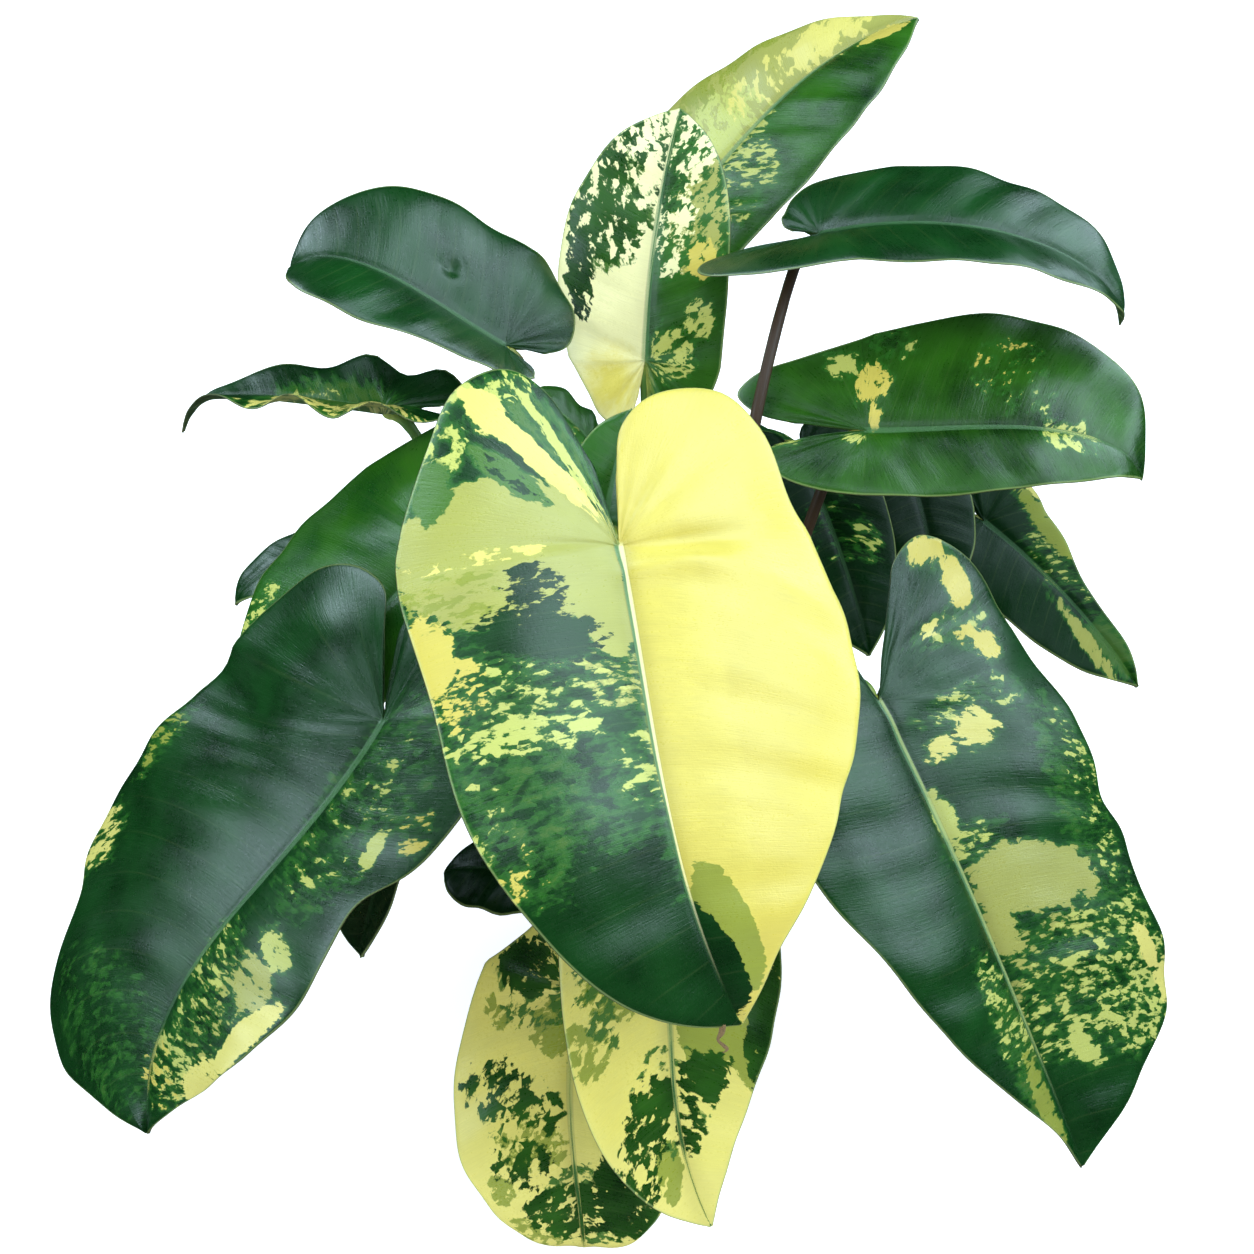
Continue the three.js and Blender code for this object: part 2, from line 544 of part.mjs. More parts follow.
// The pot: one profile turned about the axis, with drain holes cut through the floor.
function potGeometry() {
  const { height, baseRadius, rimRadius, wall, floor, lipHeight, lipOut } = POT;
  const flare = (rimRadius - baseRadius) / height;
  const outer = (z) => baseRadius + flare * z;
  const profile = [
    [0, 0], [baseRadius - 1.5, 0], [baseRadius, 1.5], [outer(height - lipHeight), height - lipHeight],
    [outer(height - lipHeight) + lipOut, height - lipHeight + 1], [outer(height) + lipOut, height - 1.5],
    [outer(height) + lipOut - 1.5, height], [outer(height) - wall + 1, height],
    [outer(height) - wall, height - 1], [outer(floor) - wall, floor], [0, floor],
  ];
  let pot = solid(lathe(profile, POT.facets));
  for (let i = 0; i < POT.holes; i++) {
    const angle = (i / POT.holes) * 2 * Math.PI;
    const [x, y] = [POT.holeCircle * Math.cos(angle), POT.holeCircle * Math.sin(angle)];
    pot = pot.subtract(solid(cylinderAt(POT.holeRadius, x, y, -1, floor + 1, 12)));
  }
  return geometryOf(pot);
}

// The soil's body, without the holes for the stems.
function soilGeometry() {
  const flare = (POT.rimRadius - POT.baseRadius) / POT.height;
  const inner = (z) => POT.baseRadius + flare * z - POT.wall - GAP;
  const bottom = POT.floor + GAP;
  const edge = SOIL_TOP - SOIL.dome;
  const profile = [[0, bottom], [inner(bottom), bottom], [inner(edge), edge]];
  for (let i = SOIL.rings - 1; i >= 0; i--) {
    const share = i / SOIL.rings;
    profile.push([inner(edge) * share, edge + SOIL.dome * (1 - share * share)]);
  }
  const geometry = lathe(profile, SOIL.sectors);
  const place = geometry.getAttribute('position');
  for (let i = 0; i < place.count; i++) {
    const [x, y, z] = [place.getX(i), place.getY(i), place.getZ(i)];
    if (z <= edge + 0.01) continue;
    const bump = Math.sin(x * 0.31 + 1.3) * Math.cos(y * 0.37) + 0.6 * Math.sin(x * 0.13 - y * 0.59);
    place.setZ(i, z + SOIL.bumps * bump);
  }
  return geometry;
}

// A round body about the Z axis, from a profile of radius and height.
function lathe(profile, sectors) {
  const points = profile.map(([r, z]) => new THREE.Vector2(r, z));
  return new THREE.LatheGeometry(points, sectors).rotateX(Math.PI / 2);
}

const colours = { blade: 0x1f5a35, stalk: 0x5a3a26, stem: 0x6b5a3a, pot: 0x2b2c2e, soil: 0x3a2a20 };
const root = new THREE.Group();

function addPiece(name, geometry, colour, roughness) {
  const material = new THREE.MeshStandardMaterial({ color: colour, roughness, metalness: 0 });
  const mesh = new THREE.Mesh(geometry, material);
  mesh.name = name;
  root.add(mesh);
}

for (const leaf of LEAVES) {
  addPiece(`blade_${leaf.name}`, bladeGeometry(leaf), colours.blade, 0.35);
  addPiece(`stalk_${leaf.name}`, stalkGeometry(leaf), colours.stalk, 0.5);
}

let soil = solid(soilGeometry());
for (const [name, stem] of Object.entries(STEMS)) {
  let post = solid(stemGeometry(stem));
  for (const leaf of LEAVES.filter((one) => one.stem === name)) {
    post = post.subtract(solid(stalkGeometry(leaf, SOCKET_GAP)));
  }
  addPiece(`stem_${name}`, geometryOf(post), colours.stem, 0.7);
  soil = soil.subtract(solid(stemGeometry(stem, GAP)));
}
addPiece('soil', geometryOf(soil), colours.soil, 0.95);
addPiece('pot', potGeometry(), colours.pot, 0.5);

export default root;
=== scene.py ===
"""A potted variegated heart-leaf philodendron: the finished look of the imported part.

Every leaf blade, stalk, stem, the soil and the pot is built here as a fine piece that keeps the form of
its CAD node. Measures in the tables are millimetres. Each operator makes one group of pieces.
"""

import math

import bpy
import mathutils
import numpy as np
from bpy.props import FloatProperty, FloatVectorProperty, IntProperty, PointerProperty
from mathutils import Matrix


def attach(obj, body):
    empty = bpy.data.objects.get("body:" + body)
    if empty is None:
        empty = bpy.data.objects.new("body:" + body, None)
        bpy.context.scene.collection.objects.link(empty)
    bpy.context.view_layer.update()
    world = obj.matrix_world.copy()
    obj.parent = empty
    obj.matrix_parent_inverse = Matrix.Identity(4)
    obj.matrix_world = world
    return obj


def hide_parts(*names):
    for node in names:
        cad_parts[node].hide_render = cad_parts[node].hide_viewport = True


bl_info = {
    "name": "Potted Variegated Philodendron",
    "version": (1, 0, 0),
    "blender": (4, 5, 0),
    "location": "View3D > Sidebar > Plant",
    "description": "Builds the leaves, stalks, stems, soil and pot of a variegated philodendron",
    "category": "Object",
}

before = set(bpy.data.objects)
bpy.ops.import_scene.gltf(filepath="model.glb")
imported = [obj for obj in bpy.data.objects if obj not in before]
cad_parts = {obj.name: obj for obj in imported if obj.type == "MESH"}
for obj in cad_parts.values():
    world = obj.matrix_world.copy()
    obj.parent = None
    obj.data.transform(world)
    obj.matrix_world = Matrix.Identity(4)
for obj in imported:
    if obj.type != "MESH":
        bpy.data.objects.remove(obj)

MM = 0.001

# The pot: the radii at its foot and at its top, its rolled lip, and the drain holes on a circle.
POT = {
    "height": 122, "base": 47, "rim": 63, "wall": 2, "floor": 3, "lip": 13, "out": 3,
    "hole": 4.5, "circle": 30, "holes": 6,
}
POT_FLARE = (POT["rim"] - POT["base"]) / POT["height"]
# The pot's plastic where it is rubbed, and the dust on it.
POT_WORN = (0.034, 0.035, 0.036, 1.0)
POT_DUST = (0.2, 0.18, 0.15, 1.0)
# The soil: how far its top lies below the pot's, how high it is domed and how uneven it is.
SOIL = {"below": 12, "dome": 5, "bumps": 1.6}
SOIL_TOP = POT["height"] - SOIL["below"]

# The stems: where each leaves the soil and where its top is. A ring marks each old leaf's place.
STEM = {"radius": 9, "depth": 34}
STEMS = {
    "front": {"foot": (-4, -20), "top": (-8, -30, 150)},
    "right": {"foot": (22, 10), "top": (28, 14, 158)},
    "left": {"foot": (-20, 14), "top": (-24, 18, 156)},
    "back": {"foot": (2, 36), "top": (4, 44, 150)},
}
SCAR_PITCH = 7.5
# The stalks: their radii, how deep each is sunk, how far out and up it sprouts, and its bend at the blade.
# sheath: how much wider its foot is, and over what length. swell: how much wider it is at the
# knuckle, how far from its end, and over what length.
STALK = {
    "base": 3.3, "top": 2.3, "sink": 4, "sprout": (11, 10), "knuckle": 6, "run_in": 2,
    "sheath": (0.9, 9), "swell": (0.35, 7, 5),
}
PALE_STALKS = ("front_right", "front_centre", "low_centre", "top_centre", "mid_left")

# The blades: how thick they are, the rib under them, and the half width left at the tip.
BLADE = {"thickness": 0.8, "rib_depth": 3.2, "rib_half": 2.6, "tip_half": 0.9}
# How far the rib's curve is pulled straight at each end, as a share of its span.
RIB_PULL = 0.38
# How far a side vein runs forwards on its way out, as a share of the rib, where a look gives no lead.
VEIN_LEAD = 0.15
# The side veins: their least spacing, how many a half has, and the length that the lobe's count as.
VEINS = {"least": 7.0, "count": 13, "fan": 78}
# The shift that keeps the patterns of a blade's two halves apart, and the width of its UV square.
HALF_SHIFT = 40
UV_WIDTH = 400
# The clearances: between seated solids, and between a stalk's end and its blade.
GAP = 0.3
SEAT_GAP = 0.4

# The heights of a blade's surface detail. quilt is in depths of a side vein.
RELIEF = {"groove": 0.95, "ridge": 0.5, "quilt": 1.5, "pleat": 0.45, "band": 0.34, "lay": 1.3, "curl": 0.5}
# How strongly a leaf mirrors the lights, and how deep its grain is.
LEAF_GLOSS = 0.62
LEAF_BUMP = 0.34

# How finely the pieces are divided. A large blade has rows over the lobe, rows along the rib and columns
# on each half. A blade under LARGE_BLADE square millimetres has fewer, down to LEAST_DETAIL of them.
# RIB_COLUMNS: where the columns over the rib lie, as shares of its half width.
BLADE_GRID = (46, 112, 40)
RIB_COLUMNS = (0, 0.18, 0.4, 0.7, 1.0)
OUTLINE_STEPS = 1201
LARGE_BLADE = 26000
LEAST_DETAIL = 0.42
STALK_SIDES = 20
STEM_GRID = (90, 56)
SOIL_GRID = (62, 160)
POT_SIDES = 144
HOLE_SIDES = 40

# What lies on the soil: name, stuff, share of the chips' number, least and most size, flatness and seed.
LUMPS = (
    ("soil_chips", "soil_bark_chip", 1, 2.2, 5.2, 0.45, 3),
    ("soil_grains", "soil_white_grain", 0.35, 0.9, 1.9, 0.85, 8),
)

# The dried thread on the front leaf: its knots from where it leaves the leaf's edge.
THREAD = {
    "from_point": 9, "rings": 26, "width": 0.85,
    "knots": [
        (0.4, 1.2, 0.6), (-0.2, -0.8, -1.6), (-1.4, -2.2, -3.8), (0.6, -2.8, -6.4), (2.0, -3.0, -8.4),
        (0.4, -3.4, -10),
    ],
}

# The floor lies just under the pot, and its paint is a little uneven.
FLOOR_TOP = -0.4
FLOOR_SHADE = (0.88, 0.88, 0.88, 1.0)

# The sky, the lights and the camera. Their places and sizes are metres, and angles are degrees.
SKY_COLOUR = (0.94, 0.97, 1.0, 1.0)
COOL, WARM = (0.68, 0.88, 1.0), (1.0, 0.99, 0.96)
PANELS_FACE = (0, 0, 0.25)
CAMERA = {
    "place": (-0.011, -0.6317, 0.7888), "down": 42, "lens": 56.1, "sensor": 36, "near": 0.02, "far": 90,
}

# The light panels: name, azimuth, elevation, distance, width, height, radiance, colour, and whether the
# leaves mirror it. Azimuth 0 is the viewer's side and 90 is the right.
PANELS = (
    ("top_panel", 20, 62, 2.0, 1.9, 1.6, 1.8, WARM, False),
    ("high_panel", -30, 60, 1.7, 1.0, 0.4, 2.0, COOL, True),
    ("front_panel", 58, 46, 1.7, 0.9, 0.8, 3.0, COOL, True),
    ("right_panel", 92, 20, 1.7, 1.0, 0.7, 3.2, COOL, True),
    ("corner_panel", 128, 32, 1.7, 0.8, 1.2, 3.4, COOL, True),
    ("over_panel", 110, 70, 1.7, 1.2, 0.7, 3.4, COOL, True),
    ("left_panel", -70, 16, 1.7, 0.9, 1.0, 3.4, COOL, True),
    ("side_panel", -128, 31, 1.7, 0.55, 0.75, 5.0, COOL, True),
    ("rear_panel", -132, 57, 1.7, 0.7, 0.45, 3.6, COOL, True),
)

# Halves of a blade's outline, from the inner edge of the lobe, round the lobe, to the tip.
# Along: 1 is the tip and -1 the end of the lobe. Across: 1 is the half's full width.
OUTLINES = {
    "heart": [
        (-0.7, 0.14), (-0.94, 0.26), (-1.0, 0.44), (-0.84, 0.72), (-0.45, 0.91), (0, 1.0),
        (0.25, 1.0), (0.45, 0.96), (0.62, 0.84), (0.78, 0.62), (0.9, 0.34), (0.97, 0.12), (1.0, 0.015),
    ],
    "full": [
        (-0.66, 0.11), (-0.92, 0.24), (-1.0, 0.38), (-0.88, 0.62), (-0.6, 0.77), (-0.2, 0.95),
        (0.1, 1.0), (0.35, 1.0), (0.55, 0.95), (0.74, 0.78), (0.9, 0.47), (0.98, 0.14), (1.0, 0.015),
    ],
    "round": [
        (-0.7, 0.1), (-0.97, 0.28), (-1.0, 0.58), (-0.82, 0.82), (-0.3, 0.95), (0.08, 0.99),
        (0.28, 1.0), (0.44, 0.91), (0.58, 0.75), (0.73, 0.52), (0.87, 0.27), (0.96, 0.1), (1.0, 0.015),
    ],
    "tapered": [
        (-0.42, 0.04), (-0.82, 0.2), (-0.95, 0.38), (-0.86, 0.6), (-0.55, 0.78), (-0.15, 0.96),
        (0.06, 1.0), (0.28, 0.92), (0.5, 0.86), (0.68, 0.66), (0.82, 0.44), (0.93, 0.18), (1.0, 0.015),
    ],
    "bellied": [
        (-0.45, 0.05), (-0.8, 0.13), (-0.98, 0.32), (-0.97, 0.63), (-0.68, 0.78), (-0.16, 0.85),
        (0.1, 0.96), (0.25, 1.0), (0.42, 0.96), (0.56, 0.83), (0.72, 0.62), (0.88, 0.26), (1.0, 0.015),
    ],
    "notched": [
        (-0.3, 0.1), (-0.65, 0.21), (-0.94, 0.33), (-1.0, 0.52), (-0.86, 0.74), (-0.4, 0.92),
        (0.1, 0.99), (0.4, 1.0), (0.68, 1.0), (0.75, 0.83), (0.84, 0.82), (0.93, 0.88), (1.0, 0.015),
    ],
    "tucked": [
        (-0.36, -0.19), (-0.62, -0.34), (-0.88, -0.38), (-1.0, -0.02), (-0.94, 0.6), (-0.3, 1.04),
        (0.12, 1.05), (0.25, 0.87), (0.4, 0.98), (0.6, 0.95), (0.76, 0.77), (0.9, 0.44), (1.0, 0.015),
    ],
    "broad": [
        (-0.5, 0.24), (-0.88, 0.38), (-0.98, 0.58), (-0.7, 0.76), (0, 0.88), (0.2, 0.95),
        (0.4, 0.94), (0.52, 1.0), (0.62, 0.93), (0.76, 0.98), (0.87, 0.86), (0.94, 0.46), (1.0, 0.015),
    ],
    "slim": [
        (-0.7, 0.14), (-0.94, 0.28), (-1.0, 0.46), (-0.84, 0.74), (-0.4, 0.95), (0, 1.0),
        (0.2, 0.98), (0.36, 0.84), (0.52, 0.68), (0.68, 0.46), (0.84, 0.2), (0.94, 0.07), (1.0, 0.015),
    ],
    "spoon": [
        (-0.7, 0.12), (-0.95, 0.22), (-1.0, 0.36), (-0.7, 0.5), (-0.3, 0.58), (0.05, 0.66),
        (0.25, 0.8), (0.42, 0.94), (0.6, 1.0), (0.76, 0.92), (0.9, 0.62), (0.98, 0.2), (1.0, 0.015),
    ],
    "closed": [
        (-0.75, 0.05), (-0.95, 0.16), (-1.0, 0.32), (-0.88, 0.58), (-0.55, 0.82), (-0.1, 0.97),
        (0.15, 1.0), (0.38, 0.99), (0.58, 0.93), (0.76, 0.76), (0.9, 0.47), (0.98, 0.14), (1.0, 0.015),
    ],
    "drawn": [
        (-0.55, 0.06), (-0.85, 0.14), (-1.0, 0.3), (-0.88, 0.46), (-0.55, 0.6), (-0.12, 0.79),
        (0.12, 0.92), (0.32, 1.0), (0.52, 0.98), (0.7, 0.8), (0.86, 0.54), (0.96, 0.22), (1.0, 0.015),
    ],
    "swelling": [
        (-0.6, 0.08), (-0.88, 0.2), (-1.0, 0.4), (-0.85, 0.6), (-0.5, 0.74), (-0.1, 0.86),
        (0.12, 0.95), (0.28, 1.0), (0.4, 0.96), (0.55, 0.85), (0.72, 0.6), (0.88, 0.3), (1.0, 0.015),
    ],
    "pinched": [
        (-0.7, 0.14), (-0.94, 0.28), (-1.0, 0.46), (-0.84, 0.74), (-0.4, 0.95), (0, 1.0),
        (0.14, 0.8), (0.28, 0.66), (0.42, 0.46), (0.6, 0.3), (0.8, 0.25), (0.93, 0.12), (1.0, 0.015),
    ],
}

# The leaves. A stalk leaves its stem at the height seat and runs through via to the joint.
# The rib runs from joint to tip. rise and fall: the angles at which it leaves the joint upwards and comes
# down to the tip. sway: the same, sideways. roll leans the blade, and hook is how far its tip drops.
# Pairs hold the value left of the rib and right of it. shape: the outline. half: its width. lobe: the
# lobe's length. fold: the angle at which the half rises from the rib. curl: how far it bends down again.
# lift tips the lobes. wave: the height, number and start of the margin's waves.
PLAIN_LEAF = {
    "roll": 0, "rise": 14, "fall": 10, "sway": (0, 0), "shape": ("heart", "heart"), "fold": (10, 10),
    "curl": (22, 22), "lift": 0, "hook": 3, "wave": (1, 2, 0.4),
}
LEAVES = [{**PLAIN_LEAF, **own} for own in (
    {
        "name": "front_centre", "stem": "front", "seat": 148, "via": (-12, -48, 240),
        "joint": (-14, -84, 336), "tip": (31, -214, 221), "rise": 16, "fall": 32, "sway": (-7.5, 24),
        "shape": ("tapered", "bellied"), "half": (83, 82), "lobe": (83, 63), "fold": (16, 16),
        "curl": (34, 40), "lift": -10, "hook": 4, "wave": (1.5, 2, 0.4),
    },
    {
        "name": "front_left", "stem": "left", "seat": 136, "via": (-66, -34, 212),
        "joint": (-106, -91, 253), "tip": (-210, -174, 96), "rise": 16, "fall": 12, "sway": (14, 28),
        "shape": ("notched", "tucked"), "half": (101, 54), "lobe": (51, 54), "fold": (8, 13),
        "curl": (26, 17), "wave": (3, 2.5, 0.4),
    },
    {
        "name": "front_right", "stem": "right", "seat": 140, "via": (60, -26, 190), "joint": (88, -80, 253),
        "tip": (178, -182, 84), "fall": 6, "sway": (-6, 4), "shape": ("slim", "broad"), "half": (70, 95),
        "lobe": (56, 54), "fold": (22, 8), "curl": (30, 26), "hook": 2, "wave": (2.4, 2.5, 0.4),
    },
    {
        "name": "low_centre", "stem": "front", "seat": 138, "via": (0, -72, 176), "joint": (2, -112, 188),
        "tip": (24, -203, 72), "sway": (-3, 19), "shape": ("heart", "round"), "half": (44, 47),
        "lobe": (36, 36), "hook": 2,
    },
    {
        "name": "low_left", "stem": "front", "seat": 126, "via": (-26, -78, 142), "joint": (-30, -119, 120),
        "tip": (-30, -180, 8), "rise": 10, "fall": 40, "sway": (-16, -4), "shape": ("drawn", "full"),
        "half": (51, 48), "lobe": (30, 34), "fold": (6, 6), "curl": (30, 30), "hook": 6,
    },
    {
        "name": "top_centre", "stem": "back", "seat": 147, "via": (-2, 66, 226), "joint": (-3, 91, 297),
        "tip": (12, 151, 388), "rise": 10, "sway": (4, -4), "shape": ("closed", "drawn"), "half": (35, 42),
        "lobe": (30, 30), "hook": 2,
    },
    {
        "name": "top_right", "stem": "back", "seat": 131, "via": (14, 88, 228), "joint": (10, 155, 330),
        "tip": (123, 226, 396), "rise": 10, "sway": (3, -19), "shape": ("full", "round"), "half": (46, 52),
        "lobe": (30, 30), "hook": 2,
    },
    {
        "name": "upper_right", "stem": "right", "seat": 153, "via": (40, 30, 288), "joint": (70, 90, 362),
        "tip": (201, 62, 337), "roll": 8, "rise": 34, "fall": 48, "half": (34, 41), "lobe": (52, 20),
        "fold": (24, 10), "hook": 6,
    },
    {
        "name": "mid_right", "stem": "right", "seat": 144, "via": (62, 22, 236), "joint": (90, 35, 300),
        "tip": (209, 15, 293), "roll": 22, "rise": 10, "fall": 30, "sway": (3, -16),
        "shape": ("heart", "drawn"), "half": (32, 58), "lobe": (42, 57), "hook": 8,
    },
    {
        "name": "upper_left", "stem": "left", "seat": 151, "via": (-44, 44, 234), "joint": (-63, 69, 320),
        "tip": (-156, 85, 351), "roll": -16, "fall": 40, "sway": (0, 16), "shape": ("full", "spoon"),
        "half": (54, 38), "lobe": (27, 16), "fold": (10, 30), "hook": 5,
    },
    {
        "name": "mid_left", "stem": "left", "seat": 140, "via": (-76, 36, 232), "joint": (-116, 60, 294),
        "tip": (-208, 66, 293), "roll": 22, "rise": 4, "shape": ("slim", "heart"), "half": (30, 32),
        "lobe": (34, 30), "fold": (30, 16), "curl": (10, 10), "hook": 14, "wave": (4, 2.5, 0.1),
    },
    {
        "name": "left_green", "stem": "left", "seat": 148, "via": (-60, -4, 220), "joint": (-86, -17, 279),
        "tip": (-169, -73, 181), "fall": 20, "shape": ("swelling", "heart"), "half": (79, 34),
        "lobe": (58, 36), "fold": (8, 8), "curl": (26, 26),
    },
    {
        "name": "left_low_tip", "stem": "left", "seat": 130, "via": (-88, 46, 178),
        "joint": (-142, 66, 214), "tip": (-194, 45, 195), "rise": 20, "fall": 24, "half": (18, 18),
        "lobe": (16, 16),
    },
    {
        "name": "right_inner", "stem": "right", "seat": 136, "via": (46, 52, 198), "joint": (69, 90, 245),
        "tip": (98, 7, 197), "half": (36, 30), "lobe": (18, 18),
    },
    {
        "name": "right_back", "stem": "right", "seat": 127, "via": (80, 46, 188), "joint": (122, 101, 228),
        "tip": (132, 38, 202), "half": (26, 26), "lobe": (20, 20),
    },
    {
        "name": "right_low", "stem": "right", "seat": 119, "via": (112, 12, 152), "joint": (159, 93, 204),
        "tip": (228, 26, 160), "roll": 10, "shape": ("heart", "pinched"), "half": (34, 33),
        "lobe": (34, 30), "fold": (14, 14),
    },
    {
        "name": "back_left", "stem": "back", "seat": 139, "via": (-18, 68, 204), "joint": (-28, 95, 250),
        "tip": (-56, 97, 276), "half": (20, 20), "lobe": (18, 18), "hook": 2,
    },
    {
        "name": "back_inner", "stem": "front", "seat": 146, "via": (-18, -12, 220), "joint": (-20, 0, 280),
        "tip": (-9, 31, 314), "half": (20, 20), "lobe": (16, 16), "hook": 2,
    },
    {
        "name": "low_dark", "stem": "left", "seat": 120, "via": (-38, -40, 132), "joint": (-56, -74, 144),
        "tip": (-92, -64, 134), "half": (24, 24), "lobe": (20, 20), "hook": 2,
    },
    {
        "name": "under_left", "stem": "left", "seat": 128, "via": (-70, -26, 150),
        "joint": (-110, -66, 160), "tip": (-128, -98, 114), "half": (22, 10), "lobe": (20, 20), "hook": 2,
    },
    {
        "name": "back_low_left", "stem": "back", "seat": 123, "via": (-38, 68, 186),
        "joint": (-60, 120, 218), "tip": (-108, 190, 150), "rise": 16, "fall": 14, "half": (36, 36),
        "lobe": (34, 34), "fold": (12, 12), "curl": (26, 26), "wave": (2, 2, 0.3),
    },
    {
        "name": "back_low_right", "stem": "back", "seat": 123, "via": (46, 78, 184),
        "joint": (50, 144, 210), "tip": (94, 214, 146), "rise": 16, "fall": 14, "half": (34, 34),
        "lobe": (32, 32), "fold": (12, 12), "curl": (26, 26), "wave": (2, 2, 0.3),
    },
    {
        "name": "back_low_centre", "stem": "back", "seat": 116, "via": (2, 88, 150),
        "joint": (-4, 130, 156), "tip": (-16, 208, 62), "rise": 18, "fall": 14, "half": (40, 40),
        "lobe": (36, 34), "fold": (12, 12), "curl": (26, 26), "wave": (2, 2, 0.1),
    },
)]

# Leaf colours, as red, green and blue from 0 to 255. dark_under is a green of painted shade for the leaves'
# undersides.
TONES = {
    "deep": (4, 36, 9), "green": (14, 68, 20), "fresh": (46, 104, 16), "grass": (70, 112, 40),
    "halo": (46, 110, 34), "moss": (74, 118, 44), "olive": (150, 160, 62), "sage": (172, 174, 88),
    "lime": (196, 202, 104), "straw": (226, 216, 116), "yellow": (217, 201, 92), "butter": (232, 218, 104),
    "cream": (250, 246, 184), "rib": (168, 190, 116), "vein": (84, 132, 84), "bark": (60, 42, 26),
    "wine": (52, 32, 26), "pale_under": (96, 128, 70), "dark_under": (22, 30, 18),
}

# The painted tones, from the first to the last. SOFTNESS: the crispness and breakup of the softer ones.
PAINTS = ("sage", "lime", "straw", "cream", "yellow", "butter", "olive", "moss")
SOFTNESS = {"grass": (2.2,), "butter": (0.9, 0.25), "moss": (4.0,)}
